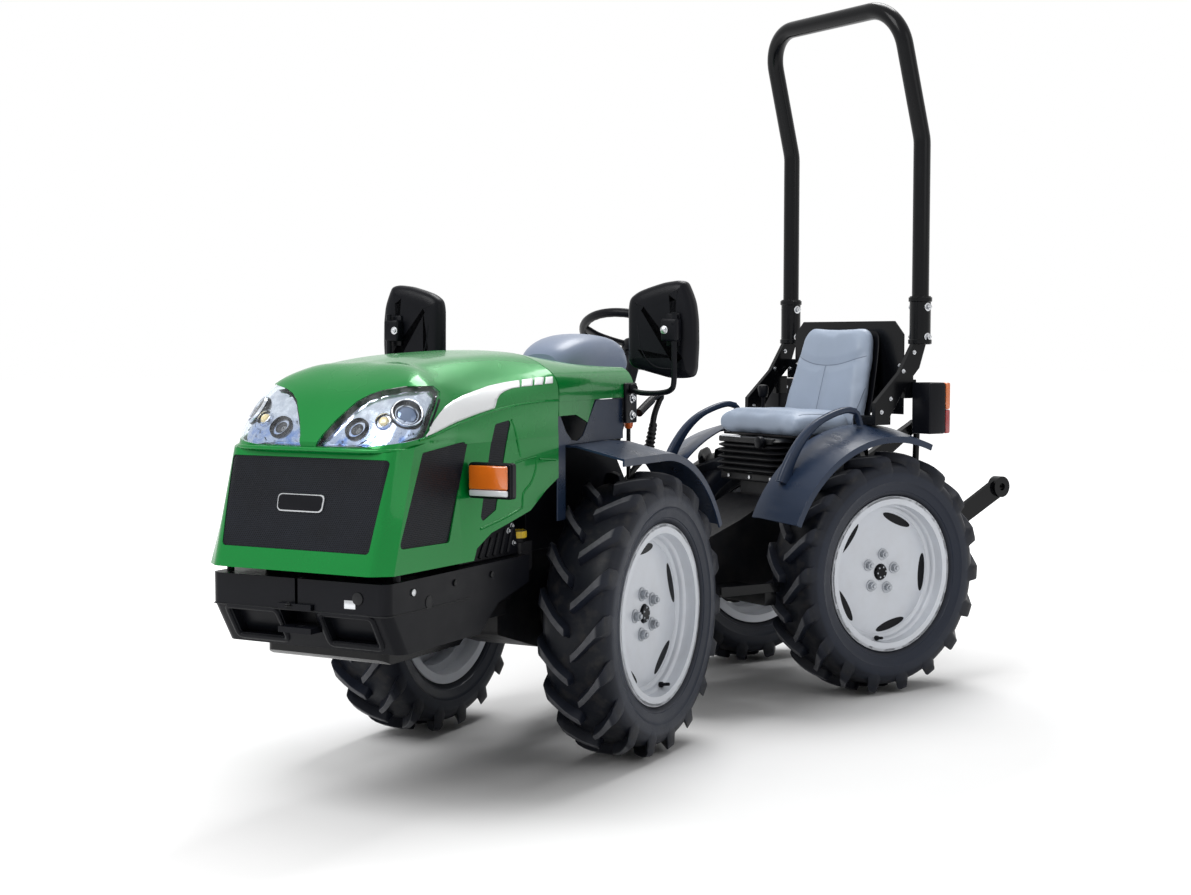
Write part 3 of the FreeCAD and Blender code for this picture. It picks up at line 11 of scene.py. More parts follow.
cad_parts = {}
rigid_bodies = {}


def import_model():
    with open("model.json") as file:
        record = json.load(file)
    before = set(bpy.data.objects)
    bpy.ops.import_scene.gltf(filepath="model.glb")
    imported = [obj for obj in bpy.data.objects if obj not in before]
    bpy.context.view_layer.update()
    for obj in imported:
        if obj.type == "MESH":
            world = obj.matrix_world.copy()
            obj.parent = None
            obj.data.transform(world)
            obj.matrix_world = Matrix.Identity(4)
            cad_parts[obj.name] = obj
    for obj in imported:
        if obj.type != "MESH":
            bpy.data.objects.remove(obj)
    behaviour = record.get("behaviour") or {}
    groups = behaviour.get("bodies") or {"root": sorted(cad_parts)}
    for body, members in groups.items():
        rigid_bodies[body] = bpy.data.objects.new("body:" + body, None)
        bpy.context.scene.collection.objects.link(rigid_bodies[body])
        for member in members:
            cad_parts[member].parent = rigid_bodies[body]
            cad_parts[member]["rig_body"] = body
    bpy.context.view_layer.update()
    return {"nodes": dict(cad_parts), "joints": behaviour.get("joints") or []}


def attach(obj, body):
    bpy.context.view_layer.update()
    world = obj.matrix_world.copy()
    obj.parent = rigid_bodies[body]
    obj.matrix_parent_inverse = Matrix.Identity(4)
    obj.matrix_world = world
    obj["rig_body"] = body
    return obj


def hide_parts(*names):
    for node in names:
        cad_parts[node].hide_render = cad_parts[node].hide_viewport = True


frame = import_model()
NODES = frame["nodes"]
JOINTS = {joint["name"]: joint for joint in frame["joints"]}
SCENE = bpy.context.scene

# ---------------------------------------------------------------- places
# Both units are described about the kingpin, with their noses towards -Y; the front one is turned as shown.
KINGPIN = Vector(JOINTS["articulation"]["pos_m"]) * Vector((1, 1, 0))
FRONT_TURN = math.radians(29)
REAR = Matrix.Translation(KINGPIN)
FRONT = REAR @ Matrix.Rotation(FRONT_TURN, 4, "Z")
PLACES = {"rear_unit": REAR, "front_unit": FRONT, "hood": FRONT}
SIDES = ((1, "left"), (-1, "right"))
ACROSS, DOWN, UP = Vector((1, 0, 0)), Vector((0, 0, -1)), Vector((0, 0, 1))


def mirrored(side, points):
    """Points given for the left side, on this side."""
    return [(side * x, *rest) for x, *rest in points]


def standing(x, y, z):
    """A place whose own X axis points up."""
    return Matrix.Translation((x, y, z)) @ Matrix.Rotation(-math.pi / 2, 4, "Y")


# ---------------------------------------------------------------- materials
MATERIALS = {}
SOCKETS = {"specular": "Specular IOR Level", "metal": "Metallic", "coat": "Coat Weight",
           "coat_rough": "Coat Roughness", "clear": "Transmission Weight"}


class Nodes:
    """A short way to write the nodes of a material or a world."""

    def __init__(self, owner):
        owner.use_nodes = True
        self.tree = owner.node_tree
        self.tree.nodes.clear()

    def add(self, kind, inputs=None, **settings):
        node = self.tree.nodes.new("ShaderNode" + kind)
        for key, value in settings.items():
            setattr(node, key, value)
        for key, value in (inputs or {}).items():
            self.put(node.inputs[key], value)
        return node

    def put(self, socket, value):
        if isinstance(value, bpy.types.NodeSocket):
            self.tree.links.new(value, socket)
        elif isinstance(value, bpy.types.Node):
            self.tree.links.new(value.outputs[0], socket)
        else:
            socket.default_value = value

    def math(self, operation, first, second=0.0):
        node = self.add("Math", operation=operation)
        for socket, value in zip(node.inputs, (first, second)):
            self.put(socket, value)
        return node.outputs[0]

    def times(self, first, second):
        return self.math("MULTIPLY", first, second)

    def less(self, first, second):
        return self.math("SUBTRACT", first, second)

    def length(self, first, second):
        return self.math("SQRT", self.math("ADD", self.times(first, first), self.times(second, second)))

    def mix(self, factor, first, second):
        node = self.add("Mix", {0: factor, 6: first, 7: second}, data_type="RGBA")
        return node.outputs[2]

    def spread(self, value, low, high, to_low=0.0, to_high=1.0):
        return self.add("MapRange", dict(enumerate((value, low, high, to_low, to_high)))).outputs[0]

    def axes(self, place):
        return self.add("SeparateXYZ", {"Vector": place}).outputs

    def noise(self, place, scale, detail=3.0):
        inputs = {"Vector": place, "Scale": scale, "Detail": detail, "Roughness": 0.55}
        return self.add("TexNoise", inputs).outputs[0]

    def patchy(self, place, scale, first, second):
        return self.mix(self.spread(self.noise(place, scale, 4.0), 0.3, 0.7), first, second)

    def uneven(self, place, scale, low, high):
        return self.spread(self.noise(place, scale), 0.3, 0.7, low, high)

    def bump(self, strength, depth, height):
        return self.add("Bump", {"Strength": strength, "Distance": depth, "Height": height})

    def shader(self, tone, rough, raised, **sockets):
        inputs = {"Base Color": tone, "Roughness": rough, "Normal": raised}
        inputs.update((SOCKETS[key], value) for key, value in sockets.items())
        return self.add("BsdfPrincipled", inputs)

    def output(self, shader, kind="Material"):
        self.add("Output" + kind, {"Surface": shader})


def begin(name):
    """The nodes of a new material, and the object coordinates in them."""
    MATERIALS[name] = bpy.data.materials.new(name)
    n = Nodes(MATERIALS[name])
    return n, n.add("TexCoord").outputs["Object"]


def rgb(red, green, blue):
    """A colour as written on screen, 0 to 255, as a linear one."""
    def line(value):
        value /= 255
        return value / 12.92 if value <= 0.04045 else ((value + 0.055) / 1.055) ** 2.4
    return (line(red), line(green), line(blue), 1.0)


def shade(colour, share):
    return tuple(min(1.0, c * share) for c in colour[:3]) + (1.0,)


DUST = rgb(150, 140, 125)


def surface(name, colour, rough, vary, patch, grain, bump, depth, span=0.08, dust=None, coarse=None,
            **sockets):
    """A moulded, painted or cast surface.

    vary is how far the colour strays over patches of the patch scale, and span how far the roughness does.
    grain, bump and depth are the scale, strength and depth of the fine relief. dust gives the height at
    which dust ends and its amount, and coarse the scale and share of a coarser relief.
    """
    n, place = begin(name)
    colour = rgb(*colour)
    fine = n.noise(place, grain, 2.0)
    tone = n.patchy(place, patch, shade(colour, 1 - vary), shade(colour, 1 + vary))
    tone = n.mix(n.spread(fine, 0.35, 0.65, 0.0, 0.25), tone, shade(colour, 1 - 1.6 * vary))
    if dust:
        low = n.spread(n.axes(place)["Z"], dust[0], 0.0)
        film = n.times(low, n.spread(n.noise(place, 22.0, 5.0), 0.42, 0.75, 0.0, dust[1]))
        tone = n.mix(film, tone, DUST)
    gloss = n.uneven(place, patch * 3, rough - span / 2, rough + span / 2)
    height = n.math("ADD", fine, n.times(n.noise(place, coarse[0]), coarse[1])) if coarse else fine
    n.output(n.shader(tone, gloss, n.bump(bump, depth, height), **sockets))


def build_surfaces():
    """Each call gives the name, colour, roughness, vary, patch, grain, bump, depth and span."""
    surface("green_paint", (1, 123, 50), 0.26, 0.03, 3, 2500, 0.03, 0.00003, 0.05, metal=0.25, specular=0.1,
            coat=0.33, coat_rough=0.05)
    surface("black_plastic", (13, 14, 19), 0.34, 0.12, 8, 1400, 0.2, 0.0002, specular=0.11)
    surface("black_paint", (9, 10, 13), 0.22, 0.08, 6, 1500, 0.08, 0.0001, specular=0.13, coat=0.06,
            coat_rough=0.06)
    surface("fender_plastic", (30, 44, 66), 0.3, 0.08, 7, 1300, 0.25, 0.0002, specular=0.3)
    surface("grey_plastic", (112, 124, 146), 0.38, 0.05, 8, 1300, 0.3, 0.0002)
    surface("casting_paint", (13, 14, 18), 0.46, 0.2, 9, 420, 0.4, 0.0006, 0.15, dust=(0.7, 0.06),
            specular=0.2)
    surface("engine_iron", (18, 18, 21), 0.55, 0.25, 12, 300, 0.5, 0.001, 0.2, specular=0.2)
    surface("bright_steel", (190, 192, 195), 0.28, 0.06, 15, 900, 0.1, 0.0001, 0.12, metal=1.0)
    surface("nut_zinc", (168, 172, 178), 0.34, 0.08, 25, 900, 0.1, 0.0001, 0.1, metal=0.6)
    surface("rim_silver", (206, 210, 217), 0.36, 0.03, 5, 2200, 0.1, 0.0001, dust=(0.9, 0.1), metal=0.15)
    surface("seat_vinyl", (150, 163, 182), 0.46, 0.05, 9, 1100, 0.5, 0.0004, 0.1, coarse=(380, 1.5))
    surface("seat_piping", (104, 114, 130), 0.5, 0.06, 20, 900, 0.4, 0.0003, 0.1)
    surface("bellows_rubber", (13, 14, 17), 0.45, 0.12, 9, 900, 0.3, 0.0003, specular=0.25)
    surface("amber_lens", (246, 122, 24), 0.12, 0.06, 30, 260, 0.5, 0.0008, 0.05, coat=1.0, clear=0.25)
    surface("red_lens", (176, 18, 20), 0.12, 0.08, 30, 260, 0.5, 0.0008, 0.05, coat=1.0, clear=0.2)
    surface("clear_plastic", (205, 207, 212), 0.18, 0.05, 30, 240, 0.4, 0.0006, 0.05, coat=1.0)
    surface("lens_glass", (96, 112, 140), 0.04, 0.1, 40, 200, 0.05, 0.0002, 0.02, metal=0.5, coat=1.0)
    surface("dark_lens", (12, 14, 22), 0.12, 0.1, 40, 200, 0.05, 0.0002, 0.02, specular=0.2, coat=0.2)
    surface("bulb_glass", (240, 214, 150), 0.12, 0.05, 40, 200, 0.05, 0.0002, 0.02, coat=1.0)
    surface("white_film", (236, 238, 240), 0.3, 0.01, 8, 1500, 0.05, 0.00005, 0.05, coat=0.6,
            coat_rough=0.06)
    surface("orange_knob", (214, 96, 26), 0.38, 0.06, 20, 900, 0.2, 0.0002)
    surface("yellow_cap", (226, 190, 40), 0.4, 0.06, 20, 900, 0.2, 0.0002)
    surface("mirror_glass", (205, 210, 216), 0.03, 0.01, 5, 900, 0.01, 0.00002, 0.01, metal=1.0)


def tyre_material():
    """Rubber with worn, paler lug tops, painted shade and dust on the floor between the lugs, and a paler,
    bluer painted sheen on the sidewall.
    """
    n, place = begin("tyre_rubber")
    axes = n.axes(place)
    radius = n.length(axes["Y"], axes["Z"])
    away = n.math("ABSOLUTE", axes["X"])
    rubber = n.patchy(place, 9.0, rgb(17, 20, 28), rgb(25, 29, 40))
    crown = n.less(TYRE_RADIUS, n.times(n.math("MAXIMUM", n.less(away, 0.036), 0.0), 0.13))
    worn = n.spread(n.less(radius, crown), -0.003, -0.001)
    worn = n.times(worn, n.spread(away, 0.083, 0.072))
    worn = n.times(worn, n.spread(n.noise(place, 60.0, 4.0), 0.25, 0.7, 0.6, 1.0))
    tone = n.mix(worn, rubber, rgb(88, 89, 93))
    floor = n.times(n.spread(radius, 0.329, 0.324), n.spread(radius, 0.304, 0.316))
    # Painted shade: the floor between the lugs is darkened as the lugs would shade it; the dust laid over it
    # next is real.
    tone = n.mix(n.times(floor, 0.6), tone, rgb(12, 15, 22))
    tone = n.mix(n.times(floor, n.spread(n.noise(place, 35.0, 5.0), 0.5, 0.78, 0.0, 0.07)), tone, DUST)
    sidewall_sheen = n.times(n.spread(radius, 0.295, 0.287), n.spread(radius, 0.23, 0.238))
    # Painted sheen: the sidewall is made paler and bluer, as a bluish reflection would show on it.
    tone = n.mix(n.times(sidewall_sheen, 0.5), tone, rgb(36, 43, 58))
    height = n.math("ADD", n.noise(place, 700.0, 2.0), n.times(n.noise(place, 90.0), 1.2))
    gloss = n.less(n.uneven(place, 27.0, 0.4, 0.5), n.times(sidewall_sheen, 0.1))
    n.output(n.shader(tone, gloss, n.bump(0.3, 0.0005, height), specular=0.2))


def mesh_material():
    """A perforated black sheet: staggered rows of fine round holes, painted near-black as painted shade for
    the space behind.
    """
    holes_across, holes_up = 190, 260.0
    n, place = begin("grille_mesh")
    axes = n.axes(place)
    sideways = n.math("ADD", n.times(axes["X"], 0.39 * holes_across),
                      n.times(axes["Y"], 1.36 * holes_across))
    up = n.times(axes["Z"], holes_up)
    shifted = n.math("ADD", sideways, n.times(n.math("MODULO", n.math("FLOOR", up), 2.0), 0.5))
    aside, above = (n.less(n.math("FRACT", value), 0.5) for value in (shifted, up))
    solid = n.spread(n.length(aside, above), 0.26, 0.34)
    # Painted shade: the holes are not cut; they are painted near-black as the darkness seen through them.
    tone = n.mix(solid, rgb(2, 2, 3), n.patchy(place, 9.0, rgb(14, 17, 23), rgb(22, 26, 35)))
    gloss = n.spread(solid, 0.0, 1.0, 0.8, 0.38)
    n.output(n.shader(tone, gloss, n.bump(0.5, 0.0006, solid), specular=0.15))


def glass_material():
    """Clear plastic with a thin film on it, which mirrors more at a slant, the same from both sides."""
    n, place = begin("lamp_glass")
    tint = (0.96, 0.98, 1.0, 1.0)
    film = n.spread(n.noise(place, 40.0, 4.0), 0.3, 0.7, 0.0, 0.06)
    raised = n.bump(0.03, 0.0002, n.noise(place, 120.0))
    slant = n.add("LayerWeight", {"Blend": 0.5, "Normal": raised}).outputs["Facing"]
    amount = n.math("MAXIMUM", film, n.times(n.math("POWER", slant, 5.0), 0.9))
    through = n.add("BsdfTransparent", {"Color": tint})
    gloss = n.shader(tint, 0.03, raised, specular=0.7)
    n.output(n.add("MixShader", {0: amount, 1: through, 2: gloss}))


def chrome_material():
    """Bright moulded reflector with soft streaks, a painted bluish reflection over its lower half and
    patches of painted shade within it.
    """
    n, place = begin("lamp_chrome")
    streaks = n.spread(n.noise(place, 38.0, 2.0), 0.42, 0.6)
    # Painted reflection: the reflector's colour turns bluish towards its lower half.
    low = n.times(n.spread(n.axes(place)["Z"], 0.866, 0.82), n.spread(streaks, 0.0, 1.0, 0.35, 1.0))
    tone = n.mix(streaks, rgb(196, 200, 208), rgb(222, 225, 230))
    tone = n.mix(low, tone, rgb(112, 140, 192))
    # Painted shade: dark bluish patches within that painted lower half.
    dark = n.spread(n.noise(place, 55.0, 2.0), 0.62, 0.68)
    tone = n.mix(n.times(dark, low), tone, rgb(44, 56, 84))
    gloss = n.uneven(place, 27.0, 0.12, 0.22)
    n.output(n.shader(tone, gloss, n.bump(0.1, 0.0004, streaks), metal=0.9))


# ---------------------------------------------------------------- building shapes
def link(name, mesh):
    piece = bpy.data.objects.new(name, mesh)
    SCENE.collection.objects.link(piece)
    return piece


def once(items):
    """The items in their order, each only once."""
    return list(dict.fromkeys(items))


def mark_sharp(mesh, angle):
    """Smooth faces, with the edges steeper than the angle, in degrees, kept sharp."""
    limit = math.radians(angle)
    for face in mesh.faces:
        face.smooth = True
    for edge in mesh.edges:
        edge.smooth = len(edge.link_faces) == 2 and edge.calc_face_angle(0) <= limit


def become_object(mesh, name, materials):
    """Turns a bmesh into an object with the materials, given as names in one text."""
    data = bpy.data.meshes.new(name)
    mesh.to_mesh(data)
    mesh.free()
    for material in materials.split():
        data.materials.append(MATERIALS[material])
    return link(name, data)


class Form:
    """Collects closed shapes into one mesh. material is the place in the piece's list of materials."""

    def __init__(self):
        self.mesh = bmesh.new()

    def face(self, corners, material):
        try:
            self.mesh.faces.new(corners).material_index = material
        except ValueError:
            pass

    def skin(self, rows, around=False, material=0):
        """A skin over closed rows of points, capped at both ends, or else closed around on itself."""
        made = [[self.mesh.verts.new(point) for point in row] for row in rows]
        count = len(made[0])
        pairs = list(zip(made, made[1:])) + ([(made[-1], made[0])] if around else [])
        for low, high in pairs:
            for i in range(count):
                k = (i + 1) % count
                self.face((low[i], low[k], high[k], high[i]), material)
        if not around:
            self.face(list(reversed(made[0])), material)
            self.face(made[-1], material)

    def lathe(self, section, place=Matrix(), segments=32, material=0):
        """section gives (along, radius) pairs round the place's X axis; a radius of 0 closes an end."""
        made = []
        for i in range(segments):
            turn = math.tau * i / segments
            row = [place @ Vector((x, r * math.cos(turn), r * math.sin(turn))) for x, r in section]
            made.append([self.mesh.verts.new(p) for p in row])
        for row, after in zip(made, made[1:] + made[:1]):
            for k in range(len(section) - 1):
                self.face((row[k], row[k + 1], after[k + 1], after[k]), material)
        bmesh.ops.remove_doubles(self.mesh, verts=[v for row in made for v in row], dist=1e-6)

    def disc(self, start, stop, radius, edge=0.0015, segments=24, material=0):
        """A round bar, washer or bolt head between two points, with softened rims."""
        start, stop = Vector(start), Vector(stop)
        length = (stop - start).length
        place = Matrix.Translation(start) @ (stop - start).to_track_quat("X", "Z").to_matrix().to_4x4()
        edge = min(edge, length / 3, radius / 3)
        soft = edge * 0.3
        section = [(0, 0), (0, radius - edge), (soft, radius - soft), (edge, radius),
                   (length - edge, radius),
                   (length - soft, radius - soft), (length, radius - edge), (length, 0)]
        self.lathe(section, place, segments, material)

    def nut(self, place, direction, radius, height, material=0):
        """A hexagon nut on a washer, with a short stud end."""
        place, rise = Vector(place), Vector(direction).normalized() * height
        self.disc(place, place + rise * 0.2, radius * 1.45, 0.0006, 20, material)
        self.disc(place + rise * 0.2, place + rise, radius, 0.0012, 6, material)
        self.disc(place + rise, place + rise * 1.35, radius * 0.52, 0.0006, 14, material)

    def block(self, corner, other, soft=0.003, segments=2, material=0):
        """A box with rounded edges between two opposite corners."""
        low, high = Vector(map(min, corner, other)), Vector(map(max, corner, other))
        made = bmesh.ops.create_cube(self.mesh, size=1.0)["verts"]
        middle, size = (low + high) / 2, high - low
        for v in made:
            v.co = v.co * size + middle
        edges = once(e for v in made for e in v.link_edges)
        soft = min(soft, min(size) * 0.45)
        out = bmesh.ops.bevel(self.mesh, geom=edges, offset=soft, segments=segments, profile=0.5,
                              affect="EDGES")
        found = out["verts"] + [v for v in made if v.is_valid]
        for face in once(f for v in found for f in v.link_faces):
            face.material_index = material

    def plate(self, outline, low, high, axis=0, soft=0.0, place=Matrix(), material=0):
        """A flat plate between low and high along the axis. The outline is given in the two other axes."""
        levels = [(outline, low), (outline, high)]
        if soft:
            inner = inset(outline, soft)
            levels = [(inner, low), (outline, low + soft), (outline, high - soft), (inner, high)]
        rows = []
        for line, level in levels:
            rows.append([place @ Vector((*pair[:axis], level, *pair[axis:])) for pair in line])
        self.skin(rows, material=material)

    def tube(self, points, radius, segments=14, steps=8, material=0):
        """A bar along a smooth line through the points."""
        rows, side = [], None
        for p, ahead, _ in along(smooth_line(points, steps)):
            side = side or ahead.orthogonal().normalized()
            side = (side - ahead * side.dot(ahead)).normalized()
            rows.append(ring_of(p, side * radius, ahead.cross(side) * radius, segments))
        self.skin(rows, material=material)

    def strap(self, points, half_width, half_thick, across, steps=8):
        """A flat moulded bar; its half-width and half-thickness are functions of the share of its length."""
        rows = []
        for p, ahead, share in along(smooth_line(points, steps)):
            side = (across - ahead * across.dot(ahead)).normalized()
            rows.append(squircle(p, side, ahead.cross(side), half_width(share), half_thick(share), 3.2, 20))
        self.skin(rows)

    def done(self, name, materials, body, place=None, sharp=32, slot=None, replaces=None, own_axes=False):
        """Makes the piece. Its mesh is in the shared frame, unless it keeps its own axes."""
        place = place or PLACES[body]
        bmesh.ops.recalc_face_normals(self.mesh, faces=self.mesh.faces)
        if not own_axes:
            self.mesh.transform(place)
        mark_sharp(self.mesh, sharp)
        piece = become_object(self.mesh, name, materials)
        if own_axes:
            piece.matrix_world = place
        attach(piece, body)
        if replaces:
            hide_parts(replaces)
        return piece


def smooth_line(points, steps):
    """Points along a smooth line that passes through the given ones."""
    points = [Vector(p) for p in points]
    if len(points) < 3 or steps < 2:
        return points
    ends = [2 * points[0] - points[1]] + points + [2 * points[-1] - points[-2]]
    line = []
    for a, b, c, e in zip(ends, ends[1:], ends[2:], ends[3:]):
        for k in range(steps):
            t = k / steps
            line.append(0.5 * ((2 * b) + (c - a) * t + (2 * a - 5 * b + 4 * c - e) * t * t
                               + (3 * b - a - 3 * c + e) * t ** 3))
    return line + [points[-1]]


def along(line):
    """Each point of a line, the direction ahead there and the share of the way."""
    last = len(line) - 1
    for i, p in enumerate(line):
        yield p, (line[min(i + 1, last)] - line[max(i - 1, 0)]).normalized(), i / last


def ring_of(middle, side, other, count):
    """Points round an ellipse, spanned by two vectors."""
    turns = [math.tau * k / count for k in range(count)]
    return [middle + side * math.cos(a) + other * math.sin(a) for a in turns]


def squircle(middle, across, up, half_width, half_height, power, count=40):
    """Points round a rounded rectangle, spanned by two unit vectors."""
    ring = []
    for k in range(count):
        angle = math.tau * (k + 0.5) / count
        c, s = math.cos(angle), math.sin(angle)
        x = math.copysign(abs(c) ** (2 / power), c) * half_width
        y = math.copysign(abs(s) ** (2 / power), s) * half_height
        ring.append(middle + across * x + up * y)
    return ring


def inset(outline, gap):
    """The outline with its edges moved inwards."""
    corners = [Vector((x, y, 0)) for x, y in outline]
    turn = sum(a.x * b.y - a.y * b.x for a, b in zip(corners, corners[1:] + corners[:1]))
    up = UP if turn > 0 else DOWN
    moved = []
    for before, here, after in zip(corners[-1:] + corners[:-1], corners, corners[1:] + corners[:1]):
        first, second = up.cross((here - before).normalized()), up.cross((after - here).normalized())
        shift = (first + second) * (gap / max(0.3, 1 + first.dot(second)))
        moved.append((here.x + shift.x, here.y + shift.y))
    return moved


def rounded(outline, radius, steps=5):
    """The outline with its corners rounded."""
    made = []
    corners = [Vector((x, y, 0)) for x, y in outline]
    for before, here, after in zip(corners[-1:] + corners[:-1], corners, corners[1:] + corners[:1]):
        reach = min(radius, (before - here).length * 0.45, (after - here).length * 0.45)
        a, b = here + (before - here).normalized() * reach, here + (after - here).normalized() * reach
        for k in range(steps + 1):
            t = k / steps
            p = a * (1 - t) ** 2 + here * (2 * t * (1 - t)) + b * t * t
            made.append((p.x, p.y))
    return made


def dress(node, material=None, bevel=0.0012, segments=2, angle=32, place=Matrix(), merge=0.4):
    """A copy of a CAD node with welded, softened edges, which stands for the node. Angles are in degrees."""
    source = NODES[node]
    mesh = bmesh.new()
    mesh.from_mesh(source.data)
    mesh.transform(place.inverted())
    bmesh.ops.remove_doubles(mesh, verts=mesh.verts, dist=0.00002)
    bmesh.ops.dissolve_degenerate(mesh, edges=mesh.edges, dist=0.00002)
    bmesh.ops.dissolve_limit(mesh, angle_limit=math.radians(merge), verts=mesh.verts, edges=mesh.edges)
    mark_sharp(mesh, angle)
    slot = source.material_slots[0].material.name
    piece = become_object(mesh, node + "_dressed", material or slot)
    piece.matrix_world = place
    if bevel:
        soft = piece.modifiers.new("edges", "BEVEL")
        soft.width = bevel
        soft.segments = segments
        soft.limit_method = "ANGLE"
        soft.angle_limit = math.radians(angle)
        soft.harden_normals = True
        soft.use_clamp_overlap = True
    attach(piece, source["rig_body"])
    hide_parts(node)
    return piece


def front_tree(node):
    """A search tree of a CAD node, in the front unit's coordinates."""
    back = FRONT.inverted()
    data = NODES[node].data
    return BVHTree.FromPolygons([back @ v.co for v in data.vertices],
                                [list(p.vertices) for p in data.polygons])


# ---------------------------------------------------------------- wheels
TYRE_RADIUS, CROWN_RADIUS, SHOULDER_RADIUS = 0.35, 0.3245, 0.28
HALF_TRACK = 0.305
# The axle's Y and the turn of its rims in degrees.
AXLES = (("rear", REAR, 0.64, 22), ("front", FRONT, -0.605, -3))
LUGS, LUG_REACH, LUG_ROOT = 18, 0.085, 0.004
DISC_FACE, NUT_CIRCLE, FIRST_NUT, WHEEL_NUTS = 0.028, 0.052, math.radians(194), 5
CASING = [  # distance from the middle plane and radius, from the bead out to the crown
    (0.069, 0.2068), (0.07, 0.215), (0.0712, 0.2262), (0.0752, 0.2292), (0.079, 0.234), (0.08, 0.2385),
    (0.0822, 0.24), (0.0862, 0.256), (0.088, 0.265), (0.0892, 0.2662), (0.0898, SHOULDER_RADIUS),
    (0.089, 0.292), (0.0862, 0.303), (0.0805, 0.3115), (0.07, 0.318), (0.054, 0.322), (0.033, 0.324),
    (0.012, CROWN_RADIUS)]
LUG_STATIONS = [  # distance from the middle plane, share of sweep, top radius, half-width at top and foot
    (0.002, -0.05, 0.326, 0.005, 0.013), (0.005, -0.01, 0.342, 0.008, 0.0165),
    (0.008, 0.03, 0.35, 0.0092, 0.017), (0.022, 0.17, 0.35, 0.0095, 0.0165),
    (0.04, 0.38, 0.3496, 0.0098, 0.017), (0.056, 0.6, 0.348, 0.0108, 0.019),
    (0.069, 0.78, 0.345, 0.0135, 0.023), (0.079, 0.9, 0.3405, 0.0175, 0.0275),
    (0.0845, 0.97, 0.3345, 0.02, 0.03), (0.0872, 1.0, 0.323, 0.019, 0.029),
    (0.0888, 1.03, 0.309, 0.014, 0.023), (0.0897, 1.05, 0.296, 0.009, 0.016)]
RIM_SECTION = [  # distance along the axle and radius, from the outer flange in to the disc
    (0.07, 0.206), (0.0705, 0.218), (0.0722, 0.2225), (0.0745, 0.224), (0.076, 0.2228), (0.076, 0.2165),
    (0.0735, 0.204), (0.069, 0.1995), (0.056, 0.1985), (0.05, 0.1965), (0.047, 0.1915), (0.0425, 0.1898),
    (0.035, 0.1893), (0.032, 0.186), (0.0305, 0.1812)]


def round_axle(x, angle, radius):
    """A point round the axle; the angle runs from straight down."""
    return Vector((x, radius * math.sin(angle), -radius * math.cos(angle)))


def casing_radius(x):
    """The casing's radius at a distance from the wheel's middle plane, on the tread side."""
    tread = [(a, r) for a, r in CASING if r >= SHOULDER_RADIUS]
    for (a, r), (b, t) in zip(tread, tread[1:]):
        if b <= x <= a:
            return t + (r - t) * (x - b) / (a - b)
    return CROWN_RADIUS if x < tread[-1][0] else SHOULDER_RADIUS


def tyre_form():
    form = Form()
    rings = 144
    profile = CASING + [(-x, r) for x, r in reversed(CASING)]
    form.skin([[round_axle(x, math.tau * i / rings, r) for x, r in profile] for i in range(rings)],
              around=True)
    for side, _ in SIDES:
        for i in range(LUGS):
            rows = []
            for x, share, top, half, foot in LUG_STATIONS:
                swept = math.tau / LUGS * (i + (side < 0) / 2) - share * LUG_REACH / TYRE_RADIUS
                base = casing_radius(x) - LUG_ROOT
                flank = [(foot, base), (foot * 0.62 + half * 0.38, base + (top - base) * 0.35),
                         (half * 1.04, top - 0.0035), (half * 0.86, top)]
                section = [(-across, r) for across, r in flank] + flank[::-1]
                rows.append([round_axle(side * x, swept + across / TYRE_RADIUS, min(r, TYRE_RADIUS))
                             for across, r in section])
            form.skin(rows)
    return form


def slot_outline():
    """The lens shape of a slot in the disc, its length across the radius, as points across and up."""
    half, rise, circle, count = 0.056, 0.0125, 0.1605, 12
    turns = [math.pi * k / count for k in range(count + 1)]
    top = [(half * math.cos(a), circle + rise * math.sin(a)) for a in turns]
    return top + [(-y, 2 * circle - z) for y, z in top[1:-1]]


def clear_nuts(rim):
    """Takes the plain nuts off a rim's disc and closes the disc under them."""
    reach, disc, nut = 0.07, 0.0275, 0.0285
    mesh = bmesh.new()
    mesh.from_mesh(rim.data)
    near = [f for f in mesh.faces
            if all(v.co.x > disc and math.hypot(v.co.y, v.co.z) < reach for v in f.verts)]
    plain = [f for f in near if any(v.co.x > nut for v in f.verts)]
    bmesh.ops.delete(mesh, geom=plain, context="FACES")
    bmesh.ops.holes_fill(mesh, edges=[e for e in mesh.edges if e.is_boundary], sides=0)
    bmesh.ops.recalc_face_normals(mesh, faces=mesh.faces)
    mesh.to_mesh(rim.data)
    mesh.free()


def wheel_nuts():
    """Wheel nuts, black plates over the disc's slots as painted shade, the black centre and the valve, in
    the wheel's own coordinates.
    """
    form = Form()
    face, nuts, black = DISC_FACE, 0, 1
    for i in range(WHEEL_NUTS):
        turn = math.tau * i / WHEEL_NUTS
        form.nut(round_axle(face, turn + FIRST_NUT, NUT_CIRCLE), ACROSS, 0.0118, 0.0145, nuts)
        # Painted shade: a thin black plate over each slot stands for the darkness seen through it.
        form.plate(slot_outline(), face - 0.001, face + 0.0004, place=Matrix.Rotation(turn, 4, "X"),
                   material=black)
    cap = ((-0.004, 0), (0.006, 0), (0.007, 0.012), (0.006, 0.0205), (0.002, 0.0225), (-0.004, 0.0235),
           (-0.004, 0))
    form.lathe([(face + x, r) for x, r in cap], Matrix(), 28, black)
    for i in range(6):
        start, stop = (round_axle(face + x, math.tau * i / 6, 0.0155) for x in (0.004, 0.0085))
        form.disc(start, stop, 0.0026, 0.0006, 10, nuts)
    stem = round_axle(0.05, math.radians(12), 0.19)
    form.disc(stem, stem + Vector((0.024, 0, 0.004)), 0.0042, 0.001, 12, black)
    form.disc(stem - ACROSS * 0.004, stem + Vector((0.006, 0, 0.001)), 0.0072, 0.0015, 14, black)
    return form


